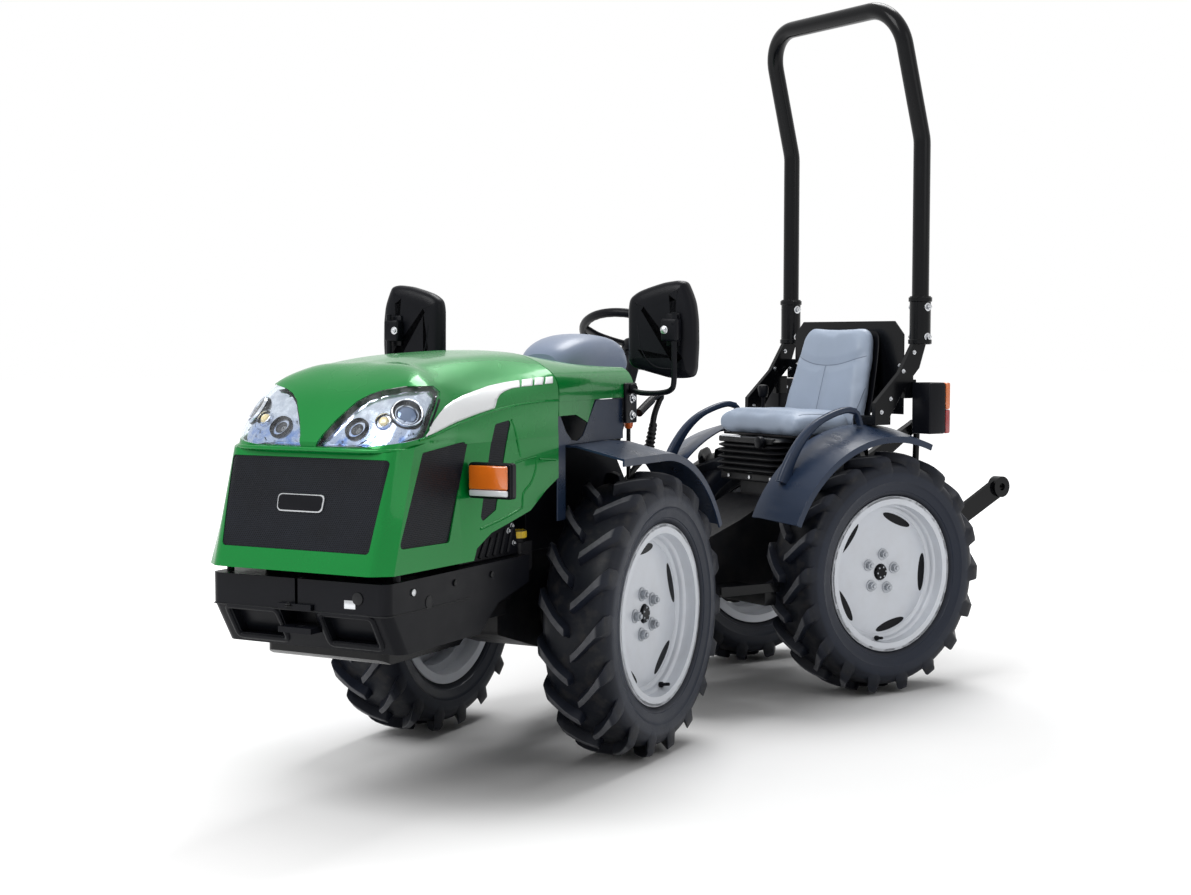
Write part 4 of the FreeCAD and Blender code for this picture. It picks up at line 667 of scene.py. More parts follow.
def build_wheels():
    for unit, matrix, axle, turn in AXLES:
        for side, tag in SIDES:
            name = unit + "_" + tag
            body = "wheel_" + name
            place = matrix @ Matrix.Translation((side * HALF_TRACK, axle, TYRE_RADIUS))
            tyre_form().done("tyre_skin_" + name, "tyre_rubber", body, place, 40, replaces="tyre_" + name,
                             own_axes=True)
            if side < 0:
                place = place @ Matrix.Rotation(math.pi, 4, "Z")
            turned = place @ Matrix.Rotation(math.radians(-turn), 4, "X")
            rim = dress("rim_" + name, bevel=0.0015, place=place)
            clear_nuts(rim)
            rim.matrix_world = turned
            wheel_nuts().done("wheel_nuts_" + name, "nut_zinc black_plastic", body, turned, 30,
                              "bright_steel",
                              own_axes=True)
            rings = Form()
            rings.lathe(RIM_SECTION, Matrix(), 96)
            rings.done("rim_steps_" + name, "rim_silver", body, place, 40, own_axes=True)


# ---------------------------------------------------------------- bonnet and grilles
# Outlines and lines on the bonnet's side are (y, z) points of the front unit. The points of STRIPES, CREASE
# and RIDGES were picked by eye on the photograph. A scratch program cast them onto the bonnet's mesh through
# a camera fitted to the photograph, and about a third of them were then moved by hand.
HOOD_TREE = front_tree("hood_shell")
STRIPES = {
    "sweep": [(-1.411, 0.823), (-1.416, 0.826), (-1.399, 0.838), (-1.376, 0.855), (-1.354, 0.868),
              (-1.326, 0.882),
              (-1.289, 0.893), (-1.251, 0.903), (-1.196, 0.912), (-1.136, 0.921), (-1.073, 0.927),
              (-1.015, 0.931),
              (-1.035, 0.916), (-1.065, 0.914), (-1.096, 0.909), (-1.121, 0.902), (-1.137, 0.892),
              (-1.146, 0.882),
              (-1.151, 0.873), (-1.209, 0.864), (-1.264, 0.854), (-1.323, 0.842), (-1.381, 0.829)],
    "block_1": [(-1.028, 0.917), (-0.987, 0.918), (-0.966, 0.934), (-1.005, 0.932)],
    "block_2": [(-0.979, 0.919), (-0.946, 0.92), (-0.926, 0.936), (-0.958, 0.935)],
    "block_3": [(-0.937, 0.921), (-0.906, 0.922), (-0.894, 0.937), (-0.919, 0.936)]}
CREASE = [(-1.429, 0.8165), (-1.381, 0.8245), (-1.324, 0.8365), (-1.266, 0.848), (-1.21, 0.8585),
          (-1.154, 0.8675), (-1.096, 0.8745), (-1.036, 0.879), (-0.974, 0.8815), (-0.917, 0.882),
          (-0.892, 0.882)]
RIDGES = [
    [(-1.2204, 0.614), (-1.1483, 0.6256), (-1.0932, 0.6365), (-1.0496, 0.6466)],
    [(-1.0852, 0.7466), (-1.0507, 0.7516), (-1.0159, 0.7547), (-0.9872, 0.7572)],
    [(-0.9838, 0.7513), (-0.9883, 0.7307), (-1.0077, 0.7017), (-1.0328, 0.6865), (-1.0458, 0.6744),
     (-1.0494, 0.6484)],
    [(-0.9729, 0.7506), (-0.9365, 0.7473), (-0.9005, 0.7444)],
    [(-1.0864, 0.8446), (-1.074, 0.8292), (-1.063, 0.8027), (-1.0503, 0.7609)]]
LAMP_GAP = [(-1.4085, 0.8265), (-1.392, 0.844), (-1.3715, 0.866), (-1.353, 0.884), (-1.337, 0.897)]
RAISED_LINES = [  # the piece's name, its lines, their radius, their lift off the bonnet and their paint
    ("bonnet_crease_", [CREASE], 0.003, 0.0003, "green_paint"),
    ("bonnet_ridges_", RIDGES, 0.0028, -0.0004, "green_paint"),
    ("lamp_gap_", [LAMP_GAP], 0.0026, -0.0006, "black_plastic")]
SIDE_MESH = ((-1.524, 0.595), (-1.34, 0.592), (-1.244, 0.811), (-1.423, 0.795))
GUARD = [(-1.248, 0.5345), (-1.24, 0.564), (-1.178, 0.594), (-1.05, 0.62), (-1.006, 0.606), (-0.99, 0.5345)]
GUARD_FACE = 0.201
BADGE_HEIGHT = 0.686


def on_side(y, z, side, lift):
    """The point of the bonnet's side at this place, lifted off it."""
    spot, normal, _, _ = HOOD_TREE.ray_cast(Vector((side * 0.5, y, z)), Vector((-side, 0, 0)))
    if spot is None:
        return None
    return spot + (normal if normal.x * side > 0 else -normal) * lift


def white_stripe(side, tag):
    """Thin film on the bonnet's side, cut to the outlines of the stripes."""
    mesh = bmesh.new()
    for outline in STRIPES.values():
        flat = mesh.faces.new([mesh.verts.new((0, y, z)) for y, z in outline])
        made = bmesh.ops.triangulate(mesh, faces=[flat])["faces"]
        bmesh.ops.subdivide_edges(mesh, edges=once(e for f in made for e in f.edges), cuts=5,
                                  use_grid_fill=True)
    bmesh.ops.triangulate(mesh, faces=mesh.faces)
    for v in mesh.verts:
        v.co = on_side(v.co.y, v.co.z, side, 0.0006) or Vector((side * 0.232, v.co.y, v.co.z))
    for face in mesh.faces:
        face.smooth = True
    bmesh.ops.recalc_face_normals(mesh, faces=mesh.faces)
    piece = become_object(mesh, "white_stripe_" + tag, "white_film")
    piece.data.transform(FRONT)
    thick = piece.modifiers.new("film", "SOLIDIFY")
    thick.thickness = 0.0005
    thick.offset = 0
    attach(piece, "hood")


def side_mesh(side, tag):
    """The mesh panel behind the opening in the bonnet's side, ruled between its lower and upper edges."""
    low_front, low_rear, high_rear, high_front = (Vector(corner) for corner in SIDE_MESH)
    columns, levels, thickness, lift = 16, 6, 0.0015, -0.0038
    rows = []
    for i in range(columns + 1):
        foot, head = low_front.lerp(low_rear, i / columns), high_front.lerp(high_rear, i / columns)
        foot, head = on_side(*foot, side, lift), on_side(*head, side, lift)
        if foot and head:
            outer = [foot.lerp(head, k / levels) for k in range(levels + 1)]
            rows.append(outer + [p - ACROSS * side * thickness for p in reversed(outer)])
    panel = Form()
    panel.skin(rows)
    panel.done("side_mesh_" + tag, "grille_mesh", "hood", slot="black_plastic")


def side_guard(side, tag):
    """The guard under the bonnet's side: a plate with raised bars and three nuts."""
    guard = Form()
    guard.plate(rounded(GUARD, 0.008), *sorted((side * 0.196, side * GUARD_FACE)), soft=0.001)
    for k in range(7):
        x, y = side * 0.2015, -1.222 + 0.03 * k
        guard.tube([(x, y, 0.542), (x, y + 0.022, 0.562 + 0.0065 * k)], 0.0045, 10, 1)
    for y, z in ((-1.036, 0.59), (-1.012, 0.56), (-1.02, 0.6)):
        guard.nut((side * GUARD_FACE, y, z), ACROSS * side, 0.0048, 0.005, 1)
    guard.done("engine_side_guard_" + tag, "black_plastic bright_steel", "front_unit")


def bonnet_lip():
    """The lower lip, along the rounded nose."""
    half, depth, power, count = 0.222, 0.2215, 5.5, 30
    nose = []
    for k in range(-count, count + 1):
        x = (half - 0.002) * math.sin(math.pi / 2 * k / count)
        nose.append((x, -1.2945 - depth * (1 - (abs(x) / half) ** power) ** (1 / power), 0.7965))
    lip = Form()
    lip.tube(nose, 0.005, 10, 1)
    lip.done("bonnet_lip", "green_paint", "hood", sharp=50)


def blank_badge():
    """A bare framed plate on the front grille."""
    outline = rounded([(-0.058, 0.667), (0.058, 0.667), (0.06, 0.705), (-0.06, 0.705)], 0.012)
    flat = [(x, z - BADGE_HEIGHT) for x, z in outline]
    spot, normal, _, _ = front_tree("hood_grilles").ray_cast(Vector((0, -1.8, BADGE_HEIGHT)),
                                                             Vector((0, 1, 0)))
    lean = Matrix.Translation(spot) @ Matrix.Rotation(-math.atan2(normal.z, -normal.y), 4, "X")
    badge = Form()
    badge.plate(flat, -0.0042, 0.001, 1, 0.001, lean)
    badge.plate([(x * 0.95, z * 0.86) for x, z in flat], -0.005, -0.004, 1, 0.0004, lean, 1)
    badge.done("blank_badge", "bright_steel black_plastic", "hood")


def build_bonnet():
    dress("hood_shell", bevel=0.0015, angle=30, merge=0.02)
    dress("cowl", bevel=0.0015, angle=30, merge=0.02)
    dress("hood_grilles", "grille_mesh", bevel=0.001)
    dress("side_panels", bevel=0.0015)
    bonnet_lip()
    for side, tag in SIDES:
        side_mesh(side, tag)
        white_stripe(side, tag)
        for name, lines, radius, lift, paint in RAISED_LINES:
            form = Form()
            for line in lines:
                spots = [on_side(y, z, side, lift) for y, z in line]
                form.tube([spot for spot in spots if spot], radius, 8, 4)
            form.done(name + tag, paint, "hood")
        side_guard(side, tag)
    blank_badge()


# ---------------------------------------------------------------- lamps
LAMPS = [  # a point near the lamp's cover, its radius and its kind
    ((0.199, -1.433, 0.877), 0.0335, "projector"), ((0.098, -1.48, 0.845), 0.0255, "dipped"),
    ((0.155, -1.463, 0.862), 0.019, "turn")]
BOWL_DEPTH = 0.0125
# Lamp sections are (along, share of the radius) pairs. The bulb's has real radii.
SLEEVE = [(-0.03, 1.04), (-0.004, 1.04), (-0.0035, 0.99), (-0.03, 0.99), (-0.03, 1.04)]
BEZEL = [(-0.03, 1.0), (-0.002, 1.0), (0.0015, 0.975), (0.002, 0.94), (0.0012, 0.9), (-0.002, 0.885)]
CONE = [(-0.002, 0.885), (-0.0012, 0.86), (-0.002, 0.8), (-0.007, 0.76), (-0.01, 0.755)]
INNER_RING = [(-0.01, 0.755), (-0.0085, 0.73), (-0.0085, 0.68), (-0.012, 0.66)]
TURN_RIM = [(-0.022, 1.0), (-0.003, 1.0), (0.0, 0.97), (0.0005, 0.92), (-0.002, 0.88)]
TURN_BOWL = [(-0.002, 0.88), (-0.01, 0.7), (-0.014, 0.55), (-0.018, 0.2), (-0.022, 0)]
BULB = [(-0.018, 0), (-0.018, 0.01), (-0.004, 0.0115), (0.0, 0.008), (0.0015, 0.0)]


def build_bowl():
    """The reflector follows the clear cover's outer skin; each point sinks along the cover's own normal."""
    bowl = bmesh.new()
    bowl.from_mesh(NODES["lamp_covers"].data)
    bmesh.ops.remove_doubles(bowl, verts=bowl.verts, dist=0.00005)
    bmesh.ops.recalc_face_normals(bowl, faces=bowl.faces)
    bowl.normal_update()
    nose = (FRONT.to_3x3() @ Vector((0, -0.92, 0.39))).normalized()
    inner = [f for f in bowl.faces if f.normal.dot(nose) <= 0.15]
    bmesh.ops.delete(bowl, geom=inner, context="FACES")
    bowl.normal_update()
    shift = {v: -v.normal * BOWL_DEPTH for v in bowl.verts}
    for v, step in shift.items():
        v.co += step
    mark_sharp(bowl, 50)
    piece = become_object(bowl, "lamp_bowls", "lamp_chrome")
    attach(piece, "hood")
    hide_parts("headlamps")


def lamp(rings, lens, place, radius, kind):
    """One lamp, along the X axis of the place. A turn lamp shows its bulb, the others a domed lens."""
    black, chrome, bulb = 0, 1, 2

    def turned(section, segments, material):
        rings.lathe([(x, radius * share) for x, share in section], place, segments, material)

    if kind == "turn":
        turned(TURN_RIM, 32, chrome)
        turned(TURN_BOWL, 32, black)
        rings.lathe(BULB, place, 24, bulb)
        return
    bright = kind == "projector"
    turned(SLEEVE, 48, black)
    turned(BEZEL, 48, chrome if bright else black)
    turned(CONE, 48, black)
    if bright:
        turned(INNER_RING, 48, chrome)
    edge = radius * (0.67 if bright else 0.76)
    turns = [math.pi / 2 * k / 9 for k in range(10)]
    dome = [(-0.0115 + 0.0085 * math.cos(a), edge * math.sin(a)) for a in turns]
    lens.lathe(dome + [(-0.016, edge * 0.98), (-0.016, 0)], place, 40, 0 if bright else 1)


def build_lamps():
    build_bowl()
    dress("lamp_covers", bevel=0, angle=40)
    tree = front_tree("lamp_covers")
    for side, tag in SIDES:
        rings, lens = Form(), Form()
        for point, radius, kind in LAMPS:
            spot, normal, _, _ = tree.find_nearest(Vector((side * point[0], *point[1:])))
            if normal.dot(Vector((side * 0.3, -1, 0.5))) < 0:
                normal = -normal
            sunk = Matrix.Translation(spot - normal * 0.0068)
            lamp(rings, lens, sunk @ normal.to_track_quat("X", "Z").to_matrix().to_4x4(), radius, kind)
        rings.done("lamp_rings_" + tag, "black_plastic lamp_chrome bulb_glass", "hood", sharp=28,
                   slot="lamp_chrome")
        lens.done("lamp_lenses_" + tag, "lens_glass dark_lens", "hood", sharp=40, slot="lamp_glass")
    build_indicators()


def build_indicators():
    inner, outer, foot, top = 0.236, 0.3445, 0.6845, 0.7615
    for side, tag in SIDES:
        box = rounded(mirrored(side, [(inner, foot), (outer, foot), (outer, top), (inner, top)]), 0.008)
        shell, amber, clear = Form(), Form(), Form()
        shell.plate(box, -1.26, -1.2402, 1, 0.003)
        shell.plate(inset(box, 0.0025), -1.264, -1.259, 1, 0.001)
        shell.done("indicator_box_" + tag, "black_plastic", "hood", replaces="indicators")
        near, far = side * 0.243, side * 0.3375
        amber.block((near, -1.2716, 0.705), (far, -1.263, 0.756), 0.004, 3)
        amber.done("indicator_amber_" + tag, "amber_lens", "hood")
        clear.block((near, -1.2706, 0.6905), (far, -1.263, 0.704), 0.003, 3)
        clear.done("indicator_clear_" + tag, "clear_plastic", "hood", slot="lamp_glass")


# ---------------------------------------------------------------- seat
CUSHION = [  # distance behind the kingpin, middle height, half-width, half-height
    (0.436, 0.772, 0.182, 0.018), (0.442, 0.7725, 0.19, 0.0255), (0.455, 0.773, 0.1945, 0.029),
    (0.48, 0.774, 0.197, 0.031), (0.53, 0.7735, 0.198, 0.03), (0.59, 0.7725, 0.198, 0.029),
    (0.64, 0.774, 0.196, 0.0305), (0.652, 0.775, 0.19, 0.03)]
CUSHION_LINE = [(0.165, 0.47, 0.806), (0.168, 0.56, 0.803), (0.16, 0.65, 0.808)]
CUSHION_FRONT = [(-0.165, 0.47, 0.806), (0, 0.463, 0.808), (0.165, 0.47, 0.806)]
BACK_FOOT, BACK_LEAN, BACK_TOP = Vector((0, 0.69, 0.744)), math.radians(15), 1.066
BACK_UP = Vector((0, math.sin(BACK_LEAN), math.cos(BACK_LEAN)))
BACK_THICK = Vector((0, math.cos(BACK_LEAN), -math.sin(BACK_LEAN)))
BACK_HEIGHT = (BACK_TOP - BACK_FOOT.z) / BACK_UP.z
BACK = [  # share of the height, half-width, half-thickness
    (0.0, 0.18, 0.019), (0.03, 0.186, 0.022), (0.15, 0.188, 0.024), (0.35, 0.185, 0.024),
    (0.55, 0.178, 0.0235),
    (0.72, 0.17, 0.023), (0.84, 0.162, 0.0225), (0.92, 0.153, 0.0215), (0.97, 0.14, 0.02),
    (0.99, 0.128, 0.017)]
BACK_ARC = [(-0.172, 0.735), (-0.12, 0.66), (-0.06, 0.612), (0, 0.598), (0.06, 0.612), (0.12, 0.66),
            (0.172, 0.735)]
BACK_MIDDLE = [(0, 0.59), (0, 0.4), (0, 0.2), (0, 0.05)]
BACK_EDGE = [(0.16, 0.03), (0.168, 0.3), (0.166, 0.6), (0.155, 0.8), (0.14, 0.9)]
VOXEL, PRESSURE, PUFF, FRAMES, SOFTENING = 0.006, 4.0, 0.012, 20, 12


def swell(piece, low, high):
    """Fine remesh, then air pressure under cloth. No point moves further than PUFF or leaves the box."""
    shape = piece.modifiers.new("voxels", "REMESH")
    shape.mode = "VOXEL"
    shape.voxel_size = VOXEL
    bpy.context.view_layer.update()
    even = bpy.data.meshes.new_from_object(piece.evaluated_get(bpy.context.evaluated_depsgraph_get()))
    piece.modifiers.clear()
    piece.data = even
    start = [v.co.copy() for v in even.vertices]
    cloth = piece.modifiers.new("air", "CLOTH")
    cloth.settings.use_pressure = True
    cloth.settings.uniform_pressure_force = PRESSURE
    cloth.settings.effector_weights.gravity = 0
    cloth.point_cache.frame_start, cloth.point_cache.frame_end = 1, FRAMES
    for step in range(1, FRAMES + 1):
        SCENE.frame_set(step)
    blown = piece.evaluated_get(bpy.context.evaluated_depsgraph_get()).to_mesh()
    moved = [v.co.copy() for v in blown.vertices]
    piece.modifiers.clear()
    SCENE.frame_set(1)
    for v, old, new in zip(even.vertices, start, moved):
        step = new - old
        v.co = old + step * min(1.0, PUFF / max(step.length, 1e-9))
    soft = bmesh.new()
    soft.from_mesh(even)
    for _ in range(SOFTENING):
        bmesh.ops.smooth_vert(soft, verts=soft.verts, factor=0.5, use_axis_x=True, use_axis_y=True,
                              use_axis_z=True)
    soft.to_mesh(even)
    soft.free()
    for v in even.vertices:
        v.co = Vector(min(max(v.co[k], low[k]), high[k]) for k in range(3))


def pad(name, node, rows, low, high):
    """A vinyl pad made from rows of points, blown up a little within the box."""
    form = Form()
    form.skin(rows)
    piece = form.done(name, "seat_vinyl", "rear_unit", replaces=node, own_axes=True)
    swell(piece, low, high)
    piece.data.name = name
    for face in piece.data.polygons:
        face.use_smooth = True
    piece.data.materials.clear()
    piece.data.materials.append(MATERIALS["seat_vinyl"])
    return piece


def sew(mesh, seams, reach, depth, toward):
    """Draws the surface in along seam lines, given as points near the surface."""
    lines = [smooth_line(seam, 10) for seam in seams]
    for v in mesh.vertices:
        if v.normal.dot(toward) > -0.2:
            continue
        gap = min((v.co - p).length for line in lines for p in line)
        if gap < reach:
            v.co += toward * depth * (1 - gap / reach) ** 1.6


def smooth_pad(piece):
    piece.modifiers.new("smooth", "SUBSURF").levels = 1
    piece.modifiers["smooth"].render_levels = 1


def lay(form, tree, points, toward, radius, lift):
    """A sewn cord on a surface, found by looking along a direction from the points."""
    hits = [tree.ray_cast(p - toward * 0.2, toward)[0] for p in smooth_line(points, 8)]
    form.tube([spot - toward * lift for spot in hits if spot], radius, 8, 1)


def up_back(share):
    """The middle of the backrest at a share of its height."""
    return BACK_FOOT + BACK_UP * BACK_HEIGHT * share


def on_back(pairs, side=1):
    """Points just ahead of the backrest, from distances across and shares of its height."""
    return [up_back(share) - BACK_THICK * 0.033 + ACROSS * (side * x) for x, share in pairs]


def build_seat():
    rows = [squircle(Vector((0, y, z)), ACROSS, UP, w, h, 5) for y, z, w, h in CUSHION]
    seat = pad("cushion_skin", "seat_cushion", rows, (-0.2055, 0.4295, 0.742), (0.2055, 0.6615, 0.8165))
    lines = [mirrored(side, CUSHION_LINE) for side in (-1, 1)]
    sew(seat.data, lines + [CUSHION_FRONT], 0.016, 0.0035, DOWN)
    smooth_pad(seat)

    rows = [squircle(up_back(share), ACROSS, BACK_THICK, w, t, 4) for share, w, t in BACK]
    back = pad("backrest_skin", "seat_backrest", rows, (-0.1985, 0.655, 0.7425), (0.1985, 0.835, 1.07))
    channels = [on_back(BACK_ARC), on_back(BACK_MIDDLE)]
    edges = [on_back(BACK_EDGE, side) for side in (-1, 1)]
    sew(back.data, channels, 0.026, 0.008, BACK_THICK)
    sew(back.data, edges, 0.012, 0.003, BACK_THICK)
    smooth_pad(back)

    bpy.context.view_layer.update()
    graph = bpy.context.evaluated_depsgraph_get()
    seams, shell = Form(), Form()
    seat_tree, back_tree = (BVHTree.FromObject(piece, graph) for piece in (seat, back))
    for seam in channels + edges:
        lay(seams, back_tree, seam, BACK_THICK, 0.0012, -0.0002)
    for seam in lines:
        lay(seams, seat_tree, seam, DOWN, 0.0011, -0.0002)
    seams.done("seat_seams", "seat_piping", "rear_unit", sharp=40, slot="seat_vinyl")
    behind = BACK_THICK * 0.031
    shell.skin([squircle(up_back(share) + behind, ACROSS, BACK_THICK, w * 0.94, 0.004, 6) for share, w,
                _ in BACK])
    shell.done("backrest_shell", "black_plastic", "rear_unit")
    dress("seat_pan")


def build_suspension():
    """Bellows between the seat and its box, the box's bolts and the adjuster under the cushion."""
    ribs, steps, low, high = 6, 8, 0.6265, 0.7325
    half, front, rear = 0.149, 0.396, 0.669
    count = ribs * steps
    bellows, knob = Form(), Form()
    rows = []
    for i in range(count + 1):
        wave = 0.5 - 0.5 * math.cos(math.tau * i / steps)
        gap = 0.0145 * (1 - wave ** 0.7) + 0.004 * i / count
        x, y, far = half - gap, front + gap, rear - gap
        outline = rounded([(-x, y), (x, y), (x, far), (-x, far)], 0.034, 6)
        rows.append([(x, y, low + (high - low) * i / count) for x, y in outline])
    bellows.skin(rows)
    bellows.block((-0.144, 0.421, 0.6005), (0.144, 0.664, 0.627), 0.006)
    for x in (-0.1, 0.0, 0.1):
        bellows.disc((x, 0.4215, 0.613), (x, 0.4165, 0.613), 0.006, 0.001, 14, 1)
    bellows.block((-0.128, 0.4, 0.7155), (0.128, 0.417, 0.7335), 0.004)
    bellows.done("seat_bellows", "bellows_rubber bright_steel", "rear_unit", sharp=50,
                 replaces="seat_suspension")
    section = [(0, 0), (0, 0.012), (0.004, 0.0165), (0.013, 0.0175), (0.019, 0.0165), (0.022, 0.011),
               (0.023, 0)]
    ahead = Matrix.Translation((0.085, 0.401, 0.7225)) @ Matrix.Rotation(-math.pi / 2, 4, "Z")
    knob.lathe(section, ahead, 24)
    knob.tube([(-0.02, 0.402, 0.7335), (-0.06, 0.398, 0.7345), (-0.11, 0.4, 0.7335)], 0.0032, 10, 4, 1)
    knob.done("seat_adjuster", "black_plastic bright_steel", "rear_unit", sharp=40)


# ---------------------------------------------------------------- rear trim
HANDLE = [(0.315, 0.62), (0.326, 0.65), (0.352, 0.698), (0.392, 0.748), (0.44, 0.785), (0.495, 0.808),
          (0.548, 0.82), (0.582, 0.815)]
HANDLE_END = [(0.573, 0.819), (0.59, 0.806), (0.602, 0.776)]
HANDLE_X = 0.282
HOOP_X, HOOP_Y = 0.297, 0.82
COLLAR = [(-0.007, 0.0308), (-0.007, 0.033), (-0.0055, 0.0345), (0.0055, 0.0345), (0.007, 0.033),
          (0.007, 0.0308),
          (-0.007, 0.0308)]
REAR_KNOB = [(-0.02, 0), (-0.02, 0.011), (-0.014, 0.0155), (0.01, 0.0175), (0.017, 0.015), (0.02, 0.008),
             (0.0205, 0)]


def grab_handle(side, tag):
    handle = Form()
    route, end = ([(side * HANDLE_X, y, z) for y, z in line] for line in (HANDLE, HANDLE_END))
    handle.strap(route, lambda t: 0.012 - 0.002 * t, lambda t: 0.022 - 0.0125 * min(1, t * 1.6), ACROSS)
    handle.strap(end, lambda t: 0.011, lambda t: 0.0075, ACROSS)
    handle.done("grab_handle_" + tag, "fender_plastic", "rear_unit", sharp=50, slot="black_plastic",
                replaces="grab_handles")


def tail_lamp(side, tag):
    """The lamp's box with two nuts, and its amber lens above the red one."""
    inner, outer, front, rear = 0.3055, 0.3825, 0.847, 0.8655
    box, amber, red = Form(), Form(), Form()
    box.block((side * inner, 0.7805, 0.7475), (side * outer, 0.844, 0.8975), 0.006, 3)
    box.block((side * (inner + 0.004), 0.842, 0.751), (side * (outer - 0.004), 0.85, 0.894), 0.004)
    for z in (0.775, 0.87):
        box.nut((side * inner, 0.806, z), -ACROSS * side, 0.0055, 0.007, 1)
    box.done("tail_lamp_box_" + tag, "black_plastic bright_steel", "rear_unit", replaces="tail_lamps")
    near, far = side * (inner + 0.001), side * (outer - 0.001)
    amber.block((near, front, 0.819), (far, rear, 0.897), 0.005, 3)
    amber.done("tail_lamp_amber_" + tag, "amber_lens", "rear_unit")
    red.block((near, front, 0.748), (far, rear, 0.8182), 0.005, 3)
    red.done("tail_lamp_red_" + tag, "red_lens", "rear_unit", slot="amber_lens")


def roll_bar_bolts(side, tag):
    """Bolts through the sleeves and their plates, and the collars round the sleeves."""
    bolts, rings = Form(), Form()
    out = ACROSS * side
    for z in (1.03, 1.118):
        bolts.nut((side * 0.3275, HOOP_Y, z), out, 0.0085, 0.011)
        bolts.nut((side * 0.2665, HOOP_Y, z), -out, 0.0085, 0.011)
    for y, z in ((0.664, 0.812), (0.7, 0.85), (0.748, 0.93), (0.79, 0.985)):
        bolts.nut((side * 0.3055, y, z), out, 0.0045, 0.005)
        bolts.nut((side * 0.2885, y, z), -out, 0.0045, 0.005)
    for x, z in ((0.235, 0.915), (0.235, 0.945), (0.275, 0.93)):
        bolts.nut((side * x, 0.7995, z), (0, -1, 0), 0.0045, 0.005)
    bolts.done("roll_bar_bolts_" + tag, "bright_steel", "rear_unit", sharp=30)
    for z in (1.14, 1.016):
        rings.lathe(COLLAR, standing(side * HOOP_X, HOOP_Y, z))
    rings.done("sleeve_collars_" + tag, "black_paint", "rear_unit", sharp=40)


def build_rear_trim():
    for side, tag in SIDES:
        grab_handle(side, tag)
        tail_lamp(side, tag)
        roll_bar_bolts(side, tag)
    lever, x, y = Form(), -0.25, 0.67
    lever.tube([(x, y, 0.801), (x, y, 0.822), (x, y, 0.846)], 0.006, 14, 3)
    lever.lathe(REAR_KNOB, standing(x, y, 0.86), 24)
    lever.done("rear_lever_knob", "black_plastic", "rear_unit", sharp=40, replaces="rear_levers")


# ---------------------------------------------------------------- mirrors, steering wheel and levers
MIRROR = [(0.2725, 1.1), (0.277, 1.125), (0.3, 1.141), (0.33, 1.151), (0.37, 1.162), (0.408, 1.1665),
          (0.428, 1.163), (0.44, 1.138), (0.45, 1.111), (0.4555, 1.07), (0.4565, 1.01), (0.453, 0.95),
          (0.447, 0.933), (0.425, 0.9285), (0.385, 0.9285), (0.33, 0.942), (0.284, 0.955), (0.2735, 0.968)]
MIRROR_STEPS = [  # how far the outline is drawn in, and its Y, from the glass to the back of the shell
    (0.0035, -0.551), (0.001, -0.5525), (0.0, -0.556), (0.0, -0.568), (0.002, -0.576), (0.0075, -0.583),
    (0.016, -0.587), (0.03, -0.589), (0.048, -0.5895)]
MIRROR_RIB = [(0.305, -0.588, 1.06), (0.318, -0.588, 0.995), (0.352, -0.588, 0.958), (0.405, -0.588, 0.95)]
POLE_X, POLE_Y = 0.415, -0.61
MIRROR_ARM = [(0.226, -0.478, 0.899), (0.262, -0.508, 0.892), (0.31, -0.548, 0.89), (0.37, -0.588, 0.893),
              (0.405, -0.606, 0.902), (0.4145, POLE_Y, 0.925), (POLE_X, POLE_Y, 1.0),
              (POLE_X, POLE_Y, 1.088)]
WHEEL_RADIUS, GRIP_RADIUS = 0.155, 0.0128
SPOKE = [(0, 0.02, -0.02), (0, 0.06, -0.0175), (0, 0.11, -0.013), (0, 0.148, -0.004)]
HUB = [(-0.045, 0), (-0.045, 0.03), (-0.038, 0.037), (-0.018, 0.0378), (-0.011, 0.035), (-0.0085, 0.026),
       (-0.008, 0)]
HUB_CAP = [(-0.0085, 0), (-0.0085, 0.022), (-0.0045, 0.0235), (-0.0015, 0.02), (-0.0005, 0)]
FRONT_KNOB = [(-0.017, 0), (-0.017, 0.0085), (-0.01, 0.012), (0.004, 0.013), (0.012, 0.0115),
              (0.0165, 0.006), (0.017, 0)]
LONG_LEVER = [(0.04, -0.192, 0.522), (0.041, -0.191, 0.59), (0.068, -0.142, 0.66), (0.096, -0.098, 0.716),
              (0.1, -0.074, 0.806), (0.1, -0.04, 0.85), (0.1, -0.026, 0.862), (0.1, -0.044, 0.867),
              (0.1, -0.1, 0.852), (0.1, -0.165, 0.823)]
GRIP = [(0.1, -0.088, 0.8555), (0.1, -0.126, 0.84), (0.1, -0.167, 0.8225)]
TANK_CAP = [(0.0, 0), (0.0, 0.0215), (0.003, 0.0226), (0.016, 0.0226), (0.0195, 0.0205), (0.0205, 0)]


